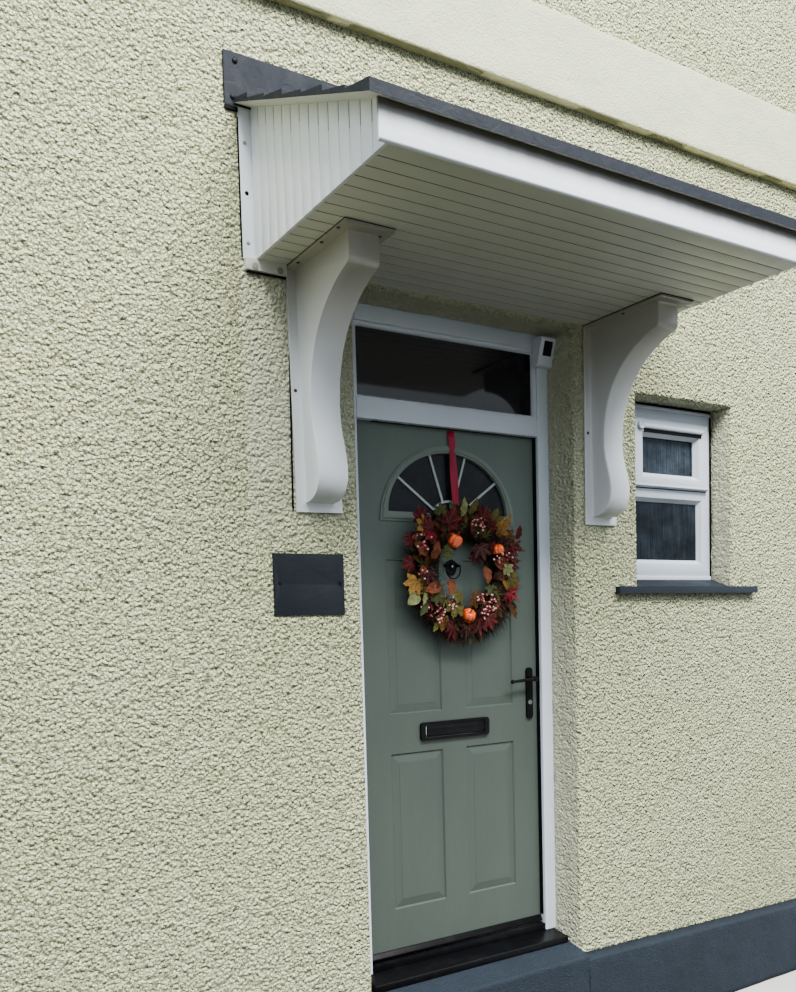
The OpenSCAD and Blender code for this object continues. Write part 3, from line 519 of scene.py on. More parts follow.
def painted_render(name, base, shade, size=40, depth=0.002, rough=0.6, under=None):
    """Trowelled render under masonry paint: soft waves and brush grain in bump; below the height "under" the
    colour is painted pale yellow, which is painted light on an underside in shade."""
    f = Finish(name)
    wave = f.noise(size * 0.3, 4, 0.6)
    brushed = f.noise(size * 4, 4, 0.62)
    f.relief(f.plus(wave, f.times(brushed, 0.55)), depth * 2)
    coat = f.ramp(f.noise(3.2, 5, 0.62), (0.3, base), (0.7, shade))
    if under is not None:
        # below the height "under" the colour is painted pale: painted light on the underside
        up = f.times(f.less(f.axis(2), under), 400)
        coat = f.between(f.ramp(up, (0.0, 1.0), (1.0, 0.0)), coat, (255, 250, 205))
    return f.colour(coat).set(rough=rough, spec=0.12).mat


PEEL = (0.00022, 260, 2, 0.5)


def moulded_white(name, base, shade, rough=0.32):
    """White moulded plastic: faint orange peel and a duller bloom in broad soft patches."""
    f = Finish(name).grain(*PEEL).mottled((3.5, 5, 0.6), (0.36, base), (0.74, shade))
    return f.rough(f.noise(7, 4, 0.6), (0.3, rough), (0.75, min(1.0, rough + 0.16))).set(spec=0.45).mat


def shaded_white(name, base, shadow, shade_from, shade_full):
    """White moulded plastic with a painted shadow: its own white up to one height and the shadow's tone from
    another up, with a soft uneven edge, as under a roof nose or a canopy."""
    f = Finish(name).grain(*PEEL)
    drift = f.times(f.less(f.noise(9, 4, 0.6, f.stretched(1, 1, 0.2)), 0.5), 0.022)
    up = f.times(f.less(f.plus(f.axis(2), drift), shade_from), 1 / (shade_full - shade_from))
    painted_shadow = f.ramp(up, (0.0, 0.0), (0.35, 0.25), (0.75, 0.85), (1.0, 1.0))
    return f.colour(f.between(painted_shadow, base, shadow)).set(rough=0.4, spec=0.4).mat


def grained_leaf(name, base, shade):
    """Moulded door skin: long upright woodgrain under satin paint; the colour is painted darker low down and
    to the left and lightest at the top, which is painted shade and painted light."""
    f = Finish(name)
    wood = f.noise(26, 6, 0.62, f.stretched(9, 9, 0.35), 0.6)
    pores = f.noise(90, 3, 0.55, f.stretched(7, 7, 0.25))
    f.relief(f.plus(wood, f.times(pores, 0.6)), 0.0011)
    coat = f.ramp(f.noise(2.6, 5, 0.6, f.stretched(2.5, 2.5, 0.8)), (0.3, base), (0.75, shade))
    # painted shade to the left and low down, painted light at the top
    across = f.ramp(f.plus(f.axis(0), 0.5), (0.1, 0.70), (0.9, 0.86))
    up = f.ramp(f.times(f.axis(2), 0.4), (0.50, 0.46), (0.66, 0.60), (0.76, 1.0))
    f.colour(f.tinted(f.tinted(coat, across), up))
    return f.rough(wood, (0.3, 0.42), (0.7, 0.55)).set(spec=0.26).mat


def satin_black(name, base=(7, 7, 8), rough=0.34, peel=300, spec=0.07):
    """Powder-coated black metal with fine orange peel and dust in the flats."""
    dust = tuple(min(255, c + 12) for c in base)
    f = Finish(name).grain(0.0003, peel, 2, 0.5).mottled((14, 5, 0.65), (0.5, base), (0.85, dust))
    return f.rough(f.noise(22, 4, 0.6), (0.3, rough), (0.75, min(1.0, rough + 0.14))).set(spec=spec).mat


def bright_metal(name, base, rough):
    """Plated steel or brass with faint turning marks."""
    f = Finish(name)
    f.grain(0.0002, 500, 2, 0.5, f.stretched(1, 8, 1))
    dull = tuple(int(c * 0.8) for c in base)
    return f.mottled((30, 3, 0.6), (0.3, base), (0.8, dull)).set(metal=1.0, rough=rough).mat


def riven_slate(name, base, shade, depth=0.002, size=22, rough=0.55):
    """Riven stone: flat flakes with stepped edges, fine grain and pale mineral bloom."""
    f = Finish(name)
    flakes = f.noise(size, 6, 0.62, None, 0.8)
    steps = f.ramp(flakes, (0.3, 0.1), (0.44, 0.35), (0.47, 0.5), (0.6, 0.62), (0.64, 0.85))
    f.relief(f.plus(steps, f.times(f.noise(size * 14, 3, 0.6), 0.25)), depth)
    f.mottled((size * 0.35, 5, 0.65), (0.3, base), (0.72, shade))
    return f.rough(flakes, (0.3, rough), (0.7, rough + 0.2)).set(spec=0.13).mat


def slate_courses(name, base, shade, wide, deep, start):
    """Moulded slates seen from above: staggered joints of the given width across courses of the given
    depth."""
    f = Finish(name)
    where = f.node("Mapping", Location=(0.0, -start, 0.0))
    f.feed(where.inputs[0], f.where)
    laid = f.node("TexBrick", Scale=1.0, Mortar_Size=0.0022, Mortar_Smooth=0.2, Brick_Width=wide,
                  Row_Height=deep, Color1=tone(*base), Color2=tone(*shade), Mortar=(0.004, 0.004, 0.005, 1))
    f.feed(laid.inputs["Vector"], where.outputs[0])
    flakes = f.noise(16, 6, 0.62, None, 0.8)
    f.relief(f.less(f.times(flakes, 0.5), laid.outputs["Fac"]), 0.003)
    bloom = f.ramp(f.noise(9, 4, 0.6), (0.35, base), (0.7, shade))
    return f.colour(f.between(0.5, laid.outputs["Color"], bloom)).set(rough=0.62, spec=0.15).mat


def dark_pane(name, low, high, ripple=0.0, size=60.0, rough=0.06, stretch=(1, 1, 1), spec=0.3, streaks=0.0):
    """Window glass whose colour is a painted reflection: soft dark shapes low down, paler above; with
    streaks, painted lit streaks and painted shade on the lower pane; and any obscuring ripple.
    """
    f = Finish(name)
    # the glass's colour is a painted reflection
    painted_reflection = f.ramp(f.noise(7.5, 6, 0.68, f.stretched(1.0, 1.0, 1.4)), (0.38, low), (0.66, high))
    if streaks > 0:
        painted_lit_streaks = f.ramp(f.noise(60, 3, 0.6, f.stretched(2.4, 2.4, 0.1)), (0.36, 0.35), (0.66, 1.0))
        lower_pane_shade = f.ramp(f.times(f.axis(2), 0.4), (0.845, 0.42), (0.88, 1.0))
        painted_reflection = f.tinted(f.between(streaks, painted_reflection, f.tinted(painted_reflection, painted_lit_streaks)), lower_pane_shade)
    f.colour(painted_reflection)
    if ripple > 0:
        f.grain(ripple, size, 3, 0.5, f.stretched(*stretch), 0.4)
    return f.set(rough=rough, spec=spec, coat=0.25 * spec, coat_rough=0.03).mat


# hollow is painted shade in the pits, crest a painted highlight on the lumps
CREAM = roughcast_finish("cream_roughcast", (134, 138, 106), (250, 253, 208), (255, 255, 224))
# the band's underside is painted pale: painted light
CREAM_BAND = painted_render("cream_band", (184, 188, 161), (174, 178, 151), 30, 0.005, 0.7,
                            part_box("string_course")[0].z + 0.003)
CREAM_PLAIN = painted_render("cream_end", (214, 212, 190), (196, 194, 172), 20, 0.002, 0.85)
BLUE = painted_render("blue_plinth", (30, 38, 47), (25, 32, 40), 34, 0.006, 0.6)
WHITE = moulded_white("white_moulding", (220, 225, 228), (208, 213, 217), 0.34)
# a darker, warmer copy of the white for the soffit and the roof's underside: painted shade
SOFFIT_WHITE_SHADED = moulded_white("white_soffit_shaded", (196, 197, 184), (186, 187, 173), 0.36)
WHITE_WINDOW = moulded_white("white_window", (178, 186, 196), (168, 176, 187), 0.38)
WHITE_FRAME = moulded_white("white_frame", (202, 210, 220), (193, 201, 212), 0.36)
BAR_WHITE = moulded_white("sunburst_white", (160, 167, 163), (148, 156, 151), 0.4)
CAP_GREY = moulded_white("cap_grey", (140, 142, 138), (112, 112, 104), 0.5)
# the fascia's top is painted dark: painted shadow under the roof nose
WHITE_FASCIA = shaded_white("white_fascia", (218, 224, 232), (66, 63, 53), 2.772, 2.826)
# the brackets are painted darker towards the top: painted shade under the canopy
WHITE_BRACKET = shaded_white("white_gelcoat", (206, 209, 211), (150, 148, 136), 2.36, 2.72)
SAGE = grained_leaf("sage_leaf", (100, 113, 104), (93, 105, 98))
# a paler copy of the door's sage for the arch surround: painted light on its rim
SAGE_RIM_LIT = grained_leaf("sage_surround", (116, 128, 117), (108, 119, 110))
BLACK = satin_black("black_fittings")
BLACK_CILL = satin_black("black_cill", (7, 7, 9), 0.3, 160, 0.06)
SCREW = satin_black("screw_heads", (46, 44, 38), 0.5, 400, 0.2)
RUBBER = satin_black("black_gasket", (7, 7, 8), 0.7, 200, 0.06)
# dark strips standing in for the shade in board grooves: painted shade
GROOVE_SHADE = satin_black("groove_painted_shade", (48, 46, 38), 0.8, 200, 0.08)
STEEL = bright_metal("plated_steel", (190, 192, 195), 0.28)
SLATE = riven_slate("slate_plate", (18, 23, 29), (15, 19, 25), 0.0014, 30, 0.55)
ROOF_SLATE = riven_slate("roof_edge_slate", (28, 32, 40), (23, 27, 34), 0.0016, 18, 0.6)
SILL_SLATE = riven_slate("sill_paint", (30, 36, 43), (25, 30, 37), 0.0016, 16, 0.6)
ROOF_TOP = slate_courses("roof_slates", (38, 42, 50), (28, 32, 38), 0.2, 0.113, -0.791)
PANE = dark_pane("fanlight_pane", (8, 10, 10), (20, 24, 27))
FAN_PANE = dark_pane("fan_window_pane", (8, 9, 12), (26, 29, 34), 0.0012, 240, 0.2, (1, 1, 1), 0.12)
OBSCURE = dark_pane("obscured_pane", (38, 46, 54), (62, 73, 84), 0.0012, 60, 0.25, (3, 3, 0.2), 0.07, 0.8)


# Roughcast wall
DOOR_L, DOOR_R, DOOR_TOP = -0.485, 0.461, 2.73
FRAME_Y = 0.128
SPLAY_L, SPLAY_R = -0.452, 0.452
WIN = (0.786, 1.36, 1.744, 2.528)
WINDOW_IN = 0.1
WALL = (-1.70, 1.88, 0.30, 4.36)
PART_X = 0.64
PITCH = 0.0076  # between grid lines
SOFT = 0.028  # from an arris to where its rounding ends
PAINTED_LIGHT_ZONE = (-0.86, 0.74, 1.85, 2.76)  # where the coat is painted in its pale crest tone round the doorway's top: painted light under the canopy
# what lies on the coat (the plate, the brackets and the end panel's flange), then what leaves it out (the
# doorway, the window, and what the band and the roof cover), each as x0, x1, z0, z1
FITTINGS = ((-0.789, -0.543, 1.676, 1.869), (-0.713, -0.553, 1.998, 2.75), (0.513, 0.673, 1.998, 2.75),
            (-0.852, -0.80, 2.70, 3.19))
HOLES = ((DOOR_L, DOOR_R, -1, DOOR_TOP), WIN, (-2, 2, 3.54, 3.79), (-0.78, 0.70, 2.765, 3.17))
RIGHT, LEFT, DOWN, OUT = (1, 0, 0), (-1, 0, 0), (0, 0, -1), (0, -1, 0)
REV_L = unit(np.array([FRAME_Y, -(SPLAY_L - DOOR_L), 0.0]))
REV_R = unit(np.array([-FRAME_Y, -(DOOR_R - SPLAY_R), 0.0]))


def relief_height(u, v):
    """Roughcast height over the wall: lumps, one for each 24 mm and each 14 mm, on slow waves."""
    du = 0.005 * soft_noise(u, v, 0.017, 31)
    dv = 0.005 * soft_noise(u, v, 0.017, 37)
    big = domes(u + du, v + dv, 0.024, 3)
    small = domes(u + dv, v + du, 0.014, 7)
    wave = layered(u, v, 0.11, 11, 3)
    return 0.0012 + 0.0034 * big + 0.0016 * small + 0.0011 * (wave + 0.6) * (0.5 + big)


def beyond(v, low, high):
    """How far a value lies outside its span."""
    return np.maximum(np.maximum(low - v, v - high), 0)


def bedding(x, z):
    """Share of the height left: down to a fifth where a fitting lies on the wall, and nought at the wall's
    ends."""
    share = np.ones_like(x)
    for x0, x1, z0, z1 in FITTINGS:
        d = np.hypot(beyond(x, x0, x1), beyond(z, z0, z1))
        share = np.minimum(share, 0.2 + 0.8 * np.clip(d / 0.012, 0, 1))
    edge = np.minimum(np.minimum(x - WALL[0], WALL[1] - x), WALL[3] - z)
    return share * np.clip(edge / 0.01, 0, 1)


def lines(*stops):
    """Grid lines about PITCH apart that pass through every stop."""
    out = [np.linspace(a, b, max(2, int(round((b - a) / PITCH)) + 1))[:-1] for a, b in zip(stops, stops[1:])]
    return np.concatenate(out + [[stops[-1]]])


def raised(p, n, h, near):
    """Points moved out by h along a normal that turns towards a neighbour's near an arris, where the coat
    thins to a millimetre or two so that the arris comes out round."""
    n = np.broadcast_to(np.asarray(n, float), p.shape).copy()
    pull = np.zeros(p.shape[:-1])
    for share, other in near:
        n = n + share[..., None] * np.asarray(other, float)
        pull = np.maximum(pull, share)
    h = (h + 0.002 * pull) * (1 - 0.8 * pull**2) + 0.001 * pull**2
    return p + unit(n) * h[..., None]


def share_of(d):
    """Nearness to an arris: 1 on it, 0 from SOFT away."""
    return np.clip(1 - d / SOFT, 0, 1)


def front_sheet(x_stops, z_stops):
    """The wall's face between given lines, y = 0 raised by the relief, with the holes left out."""
    xs, zs = lines(*x_stops), lines(*z_stops)
    X, Z = np.meshgrid(xs, zs, indexing="ij")
    over_door, past_door = np.maximum(Z - DOOR_TOP, 0), beyond(X, DOOR_L, DOOR_R)
    over_win, past_win = beyond(Z, *WIN[2:]), beyond(X, *WIN[:2])
    hair = 1e-6
    near = [(share_of(np.hypot(dx, dz)) * there, way) for dx, dz, there, way in (
        (X - DOOR_L, over_door, X <= DOOR_L + hair, REV_L),
        (X - DOOR_R, over_door, X >= DOOR_R - hair, REV_R),
        (past_door, Z - DOOR_TOP, Z >= DOOR_TOP - hair, DOWN),
        (X - WIN[0], over_win, X <= WIN[0] + hair, RIGHT),
        (X - WIN[1], over_win, X >= WIN[1] - hair, LEFT),
        (past_win, Z - WIN[3], Z >= WIN[3] - hair, DOWN))]
    p = raised(np.stack([X, np.zeros_like(X), Z], -1), OUT, relief_height(X, Z) * bedding(X, Z), near)
    cx, cz = (X[:-1, :-1] + X[1:, 1:]) / 2, (Z[:-1, :-1] + Z[1:, 1:]) / 2
    keep = np.ones(cx.shape, bool)
    for x0, x1, z0, z1 in HOLES:
        keep &= ~((cx > x0) & (cx < x1) & (cz > z0) & (cz < z1))
    return p, lattice(len(xs), len(zs), keep=keep)


def reveal_sheet(a, b, normal, span, kind, corners, ragged=False):
    """One side of an opening from the arris a to its inner line b, raised as the face is. corners are
    (place along the span, neighbour's normal); a ragged side swells by turns where it meets the black
    joint."""
    a, b = np.asarray(a, float), np.asarray(b, float)
    deep = np.linalg.norm(b - a)
    s = np.linspace(0, deep, max(3, int(round(deep / PITCH)) + 1))
    t = lines(*span)
    S, T = np.meshgrid(s, t, indexing="ij")
    base = a[None, None, :] + S[..., None] * (b - a) / deep
    if kind == "side":
        base[..., 2] = T
        h = relief_height(a[0] + (1.0 if normal[0] > 0 else -1.0) * S, T)
    else:
        base[..., 0] = T
        h = relief_height(T, a[2] - S)
    inner = np.clip(1 - (deep - S) / 0.016, 0, 1)
    h = h * (1 - 0.75 * inner)
    if ragged:
        h = h + (0.005 if kind == "head" else 0.003) * inner * np.maximum(layered(T, S, 0.05, 91, 3), 0)
    near = [(share_of(S), OUT)] + [(share_of(np.abs(T - at)), other) for at, other in corners]
    p = raised(base, normal, h, near)
    return p, lattice(len(s), len(t), flip=(kind == "side" and normal[0] < 0))


def coated(name, *patches):
    """One welded sheet of roughcast whose tint rises to 1 inside the openings and to 0.6 round the doorway's
    top, where the paler coat is painted light."""
    points, quads = joined(*patches)
    x, y, z = points.T
    fill_and_light = np.clip((y + 0.002) / 0.02, 0, 1)
    # round the doorway's top the coat is painted paler: painted light under the canopy
    x0, x1, z0, z1 = PAINTED_LIGHT_ZONE
    painted_light_by_door = (x > x0) & (x < x1) & (z > z0) & (z < z1)
    fill_and_light = np.maximum(fill_and_light, 0.6 * painted_light_by_door * np.clip((z - z0) / 0.3, 0, 1))
    make_piece(name, points, quads, CREAM, tint=np.repeat(fill_and_light[:, None], 3, 1))


def build_walls():
    """Four sheets over the masonry, each with the reveals that turn in from it."""
    z_all = (WALL[2], 0.36, WIN[2], WIN[3], DOOR_TOP, WALL[3])
    under_head, under_lintel = [(DOOR_TOP, DOWN)], [(WIN[3], DOWN)]
    coated("roughcast_left", front_sheet((WALL[0], DOOR_L), z_all),
           reveal_sheet((DOOR_L, 0, 0), (SPLAY_L, FRAME_Y, 0), REV_L, z_all[1:5], "side", under_head))
    coated("roughcast_over_door", front_sheet((DOOR_L, DOOR_R), (DOOR_TOP, WALL[3])),
           reveal_sheet((0, 0, DOOR_TOP), (0, FRAME_Y, DOOR_TOP), DOWN, (DOOR_L, DOOR_R), "head",
                        [(DOOR_L, REV_L), (DOOR_R, REV_R)]))
    coated("roughcast_middle", front_sheet((DOOR_R, PART_X), z_all),
           reveal_sheet((DOOR_R, 0, 0), (SPLAY_R, FRAME_Y, 0), REV_R, z_all[1:5], "side", under_head))
    coated("roughcast_right", front_sheet((PART_X, WIN[0], WIN[1], WALL[1]), z_all),
           reveal_sheet((WIN[0], 0, 0), (WIN[0], WINDOW_IN, 0), RIGHT, WIN[2:], "side", under_lintel),
           reveal_sheet((WIN[1], 0, 0), (WIN[1], WINDOW_IN, 0), LEFT, WIN[2:], "side", under_lintel, True),
           reveal_sheet((0, 0, WIN[3]), (0, WINDOW_IN, WIN[3]), DOWN, WIN[:2], "head",
                        [(WIN[0], RIGHT), (WIN[1], LEFT)], True))


build_walls()


# Band and plinths
def run_of(name, profile, x0, x1, stations, finish, node, wobble, size, seed, drop=None):
    """A profile (y, z) carried along x, each point nudged along its own normal by layered noise, ends
    closed. A drop tips its top down by that much towards x1, over the ground and in front of the wall's
    face."""
    t = np.gradient(profile, axis=0)
    n = np.stack([t[:, 1], -t[:, 0]], 1)
    n /= np.maximum(np.linalg.norm(n, axis=1), 1e-9)[:, None]
    s = np.concatenate([[0], np.cumsum(np.linalg.norm(np.diff(profile, axis=0), axis=1))])
    X, S = np.meshgrid(np.linspace(x0, x1, stations), s, indexing="ij")
    y, z = (profile + n * (wobble * layered(X, S, size, seed, 4, 0.55))[..., None]).transpose(2, 0, 1)
    if drop is not None:
        z = z - drop * ((X - x0) / (x1 - x0)) * np.clip(z / profile[:, 1].max(), 0, 1)
        y, z = np.minimum(y, 0.0), np.maximum(z, 0.0)
    p = np.stack([X, y, z], -1)
    k = len(s)
    i = np.arange(k)
    fan = np.stack([i, (i + 1) % k, np.full(k, k), np.full(k, k)], 1)
    caps = [(np.concatenate([ring, ring.mean(0)[None]]), quads)
            for ring, quads in ((p[0], fan[:, [1, 0, 2, 3]]), (p[-1], fan))]
    piece = make_piece(name, *gather((p, lattice(stations, k, wrap_v=True)), *caps), finish)
    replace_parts(piece, node)


def arc(cy, cz, r, a0, a1, n):
    """Points round a centre from one angle to another, in degrees."""
    a = np.radians(np.linspace(a0, a1, n))
    return np.stack([cy + r * np.cos(a), cz + r * np.sin(a)], 1)


def densified(*parts):
    """A closed profile of the given runs of points, filled in so that no stretch is longer than 20 mm."""
    out = []
    points = np.concatenate(parts)
    for a, b in zip(points, np.roll(points, -1, 0)):
        n = max(1, int(np.linalg.norm(b - a) / 0.02))
        out.append(a + (b - a) * (np.arange(n) / n)[:, None])
    return np.concatenate(out)


def build_masonry_trim():
    """String band and both plinths, each a slightly wavy run of its profile; the right plinth falls by 30
    mm."""
    lo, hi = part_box("string_course")
    r = 0.008
    band = densified([[0.0, hi.z], [0.0, lo.z], [lo.y + r, lo.z]], arc(lo.y + r, lo.z + r, r, 270, 180, 5),
                     arc(lo.y + r, hi.z - r, r, 180, 90, 5))
    run_of("string_band", band, lo.x, hi.x, 200, CREAM_BAND, "string_course", 0.0016, 0.2, 5)
    r, weather = 0.014, 0.012
    for node, seed, drop in (("plinth_left", 11, 0.0), ("plinth_right", 17, 0.03)):
        lo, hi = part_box(node)
        profile = densified([[0.0, hi.z], [0.0, 0.0], [lo.y, 0.0]],
                            arc(lo.y + r, hi.z - weather - r, r, 180, 95, 6))
        run_of(node + "_render", profile, lo.x, hi.x, 150, BLUE, node, 0.0022, 0.09, seed, drop)


build_masonry_trim()


# Carried-over nodes
def paint(finish, *names):
    """A finish on every slot of CAD nodes that show as they are."""
    for name in names:
        mats = NODES[name].data.materials
        if len(mats) == 0:
            mats.append(finish)
        for k in range(len(mats)):
            mats[k] = finish


paint(CREAM_PLAIN, "wall_left", "wall_right", "wall_over_door")
paint(BLUE, "door_step")
paint(PANE, "fanlight_glass")
paint(FAN_PANE, "arch_glass")
paint(OBSCURE, "window_glass")
paint(RUBBER, "window_joint")
paint(STEEL, "hinge_frame_side", "hinge_leaf_side", "lock_cylinder")
paint(BLACK, "knocker_loop", "knocker_plate", "door_lever", "handle_plates")
paint(SAGE, "door_leaf")
paint(BAR_WHITE, "sunburst_bars")

# slates on the faces that look up, a white underside, plain slate edges between
welded("roof_moulding", "canopy_roof", (ROOF_SLATE, ROOF_TOP, SOFFIT_WHITE_SHADED), 0.0018,
       lambda way: 2 if way.z < -0.5 else (1 if way.z > 0.5 else 0))
for finish, width, *names in (
    (WHITE_FRAME, 0.0025, "frame_jamb_left", "frame_jamb_right", "frame_head", "frame_transom"),
    (BLACK_CILL, 0.0008, "threshold"), (BLACK_CILL, 0.003, "door_cill"), (BLACK_CILL, 0.0012, "weather_bar"),
    (BLACK, 0.0012, "letter_plate"), (BLACK, 0.0006, "letter_flap"),
    (WHITE_FASCIA, 0.002, "canopy_fascia"), (SOFFIT_WHITE_SHADED, 0.0006, "canopy_soffit"),
    (WHITE, 0.0006, "canopy_end_left", "canopy_end_right"),
    (WHITE_BRACKET, 0.009, "bracket_left", "bracket_right"),
    (SILL_SLATE, 0.003, "window_sill"), (SAGE_RIM_LIT, 0.0012, "arch_surround"), (SLATE, 0.001, "slate_plate"),
    (WHITE_FRAME, 0.003, "door_camera"),
):
    for name in names:
        welded(name + "_finished", name, (finish,), width)


# Painted shade in the grooves and gaps, and fixings of the canopy
SOFFIT_Z, BOARD_Y, BOARD_PITCH, BOARDS = 2.743, -0.761, 0.054, 13
END_FACE = 0.040  # from the end panel's outer side to its grooved face
# the brackets' middles, the underside of their top plates, and the face of what is screwed to the wall
BRACKET_X, PLATE_Z, FLANGE_Y = (-0.633, 0.593), 2.731, -0.012
SLOPE, CROWN_Z = math.tan(math.radians(24.4)), 2.8517  # of the end panel's top
SUNK, DEEP = 0.0008, 0.0019  # how deep in a groove the painted shade starts and ends
# how far down from the slope the painted shade reaches in each groove of the left end panel
SHADE_REACH = (0.058, 0.066, 0.072, 0.055, 0.078, 0.062, 0.070, 0.052, 0.082, 0.060, 0.074, 0.057, 0.064)
SCREW_DOME = np.array([(0, 0), (0.0058, 0), (0.0056, 0.0012), (0.0040, 0.0026), (0.0018, 0.0030),
                       (0, 0.0030)])


def strip(p, q, wide, thick):
    """A flat bar from p to q, wide and thick as given."""
    return along([p, q], np.array([(-wide, -thick), (wide, -thick), (wide, thick), (-wide, thick)]) / 2)


def build_canopy_shade_and_gaps():
    """Painted shade: dark strips in the board grooves of soffit and left end panel, and black strips in the
    gaps round plates and flanges."""
    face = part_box("canopy_end_left")[0].x + END_FACE
    groove_shades = []
    for k, reach in enumerate(SHADE_REACH, 1):
        y = BOARD_Y + k * BOARD_PITCH
        thin = 0.0017 - 0.0008 * k / BOARDS
        groove_shades.append(block((-0.800, y - thin, SOFFIT_Z + SUNK), (0.718, y + thin, SOFFIT_Z + DEEP)))
        if y < -0.03:
            crown = CROWN_Z + (y - BOARD_Y) * SLOPE
            groove_shades.append(block((face + SUNK, y - 0.0013, crown - reach),
                              (face + DEEP, y + 0.0013, crown - 0.004)))
    make_piece("groove_shade_strips", *gather(*groove_shades), GROOVE_SHADE, smooth=False)
    # black strips stand in for the shade in the gaps round plates and flanges: painted shade
    gap_shades = [block((mid - 0.0812, -0.3892, SOFFIT_Z - 0.0026), (mid + 0.0812, -0.002, SOFFIT_Z - 0.0004))
            for mid in BRACKET_X]
    gap_shades += [strip((-0.7040, -0.0035, 2.728), (-0.7140, -0.0035, 2.001), 0.004, 0.005),
             strip((-0.8530, -0.0035, 2.745), (-0.8530, -0.0035, 3.150), 0.0022, 0.005),
             strip((-0.842, -0.008, 2.7085), (-0.714, -0.008, 2.7085), 0.0024, 0.012),
             block((-0.892, -0.011, 3.163), (-0.853, -0.002, 3.174))]
    make_piece("gap_shade_strips", *gather(*gap_shades), RUBBER, smooth=False)


def build_fixings():
    """Screw heads and caps as turned forms: brackets and plates, end panel, upstand, packer and slate
    plate."""
    bright = [lathe(SCREW_DOME, (x, y, PLATE_Z), "z", 14, -1)
              for x, y in ((-0.712, -0.346), (-0.709, -0.240), (-0.705, -0.078), (-0.580, -0.349))]
    bright += [lathe(SCREW_DOME, (x, FLANGE_Y, z), "y", 14) for x, z in ((-0.696, 2.369), (0.526, 2.344))]
    bright += [lathe(SCREW_DOME, (x, y, PLATE_Z), "z", 14, -1) for x, y in ((0.640, -0.346), (0.524, -0.200))]
    caps = [lathe(SCREW_DOME, (x, -0.004, z), "y", 14) for x, z in ((-0.832, 2.790), (-0.833, 3.080))]
    caps += [lathe([(0, 0), (0.0105, 0), (0.0100, 0.002), (0, 0.0028)], (x, -0.020, 2.7205), "y", 18)
             for x in (-0.819, -0.737)]
    dull = [lathe(SCREW_DOME * 1.1, (-0.831, -0.004, 2.935), "y", 14)]
    dull += [lathe(SCREW_DOME * 1.5, (x, FLANGE_Y, z), "y", 16)
             for x, z in ((-0.858, 3.304), (-0.868, 3.199), (0.778, 3.304), (0.788, 3.199))]
    lo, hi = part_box("slate_plate")
    pin = [(0, 0), (0.0062, 0), (0.0058, 0.0016), (0.003, 0.0024), (0, 0.0024)]
    pins = [lathe(pin, (x, lo.y, (lo.z + hi.z) / 2 + 0.004), "y", 14) for x in (lo.x + 0.020, hi.x - 0.014)]
    for name, heads, finish in (("plate_screws", bright, SCREW), ("grey_caps", caps, CAP_GREY),
                                ("dark_screws", dull, BLACK), ("plate_pins", pins, BLACK)):
        make_piece(name, *gather(*heads), finish, crease=50)


def build_camera_lens():
    """The door camera's black front: a thin slab that lies on the sloping face between top and foot."""
    lo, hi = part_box("door_camera")
    top, foot = np.array([lo.y, hi.z - 0.006]), np.array([hi.y - 0.032, lo.z + 0.005])
    down = foot - top
    out = np.array([down[1], -down[0]]) / np.linalg.norm(down)
    rows = [top + down * s + out * h for s in (0.12, 0.66) for h in (0.0007, -0.001)]
    p = np.array([[x, y, z] for x in (lo.x + 0.016, hi.x - 0.015) for y, z in rows])
    q = np.array([[0, 2, 6, 4], [1, 5, 7, 3], [0, 4, 5, 1], [2, 3, 7, 6], [0, 1, 3, 2], [4, 6, 7, 5]])
    make_piece("camera_lens", p, q, RUBBER, smooth=False)


def build_door_details():
    """The black seals between leaf and frame, the lips the letter flap closes on and the knocker's
    spy-hole."""
    # black gaskets that also stand in for the shade in the gaps round the leaf, the head one for the shade
    # under the transom: partly painted shade
    seals = [block((0.3984, 0.1440, 0.470), (0.4004, 0.1634, 2.3455)),
             block((-0.33, 0.1500, 2.3434), (0.3984, 0.1634, 2.3454))]
    make_piece("door_seals", *gather(*seals), RUBBER, smooth=False)
    stops = [block((x - 0.0035, 0.1597, 1.2275), (x + 0.0035, 0.1640, 1.2690)) for x in (-0.1385, 0.1385)]
    make_piece("flap_stops", *gather(*stops), RUBBER, "door", smooth=False)
    rim = [(0, 0), (0.0036, 0), (0.0034, 0.0008), (0.0020, 0.0010), (0, 0.0009)]
    spy = lathe(rim, (0.0, 0.1530, 1.847), "y", 18)
    make_piece("spy_hole", *spy, STEEL, "door", crease=40)


build_canopy_shade_and_gaps()
build_fixings()
build_camera_lens()
build_door_details()


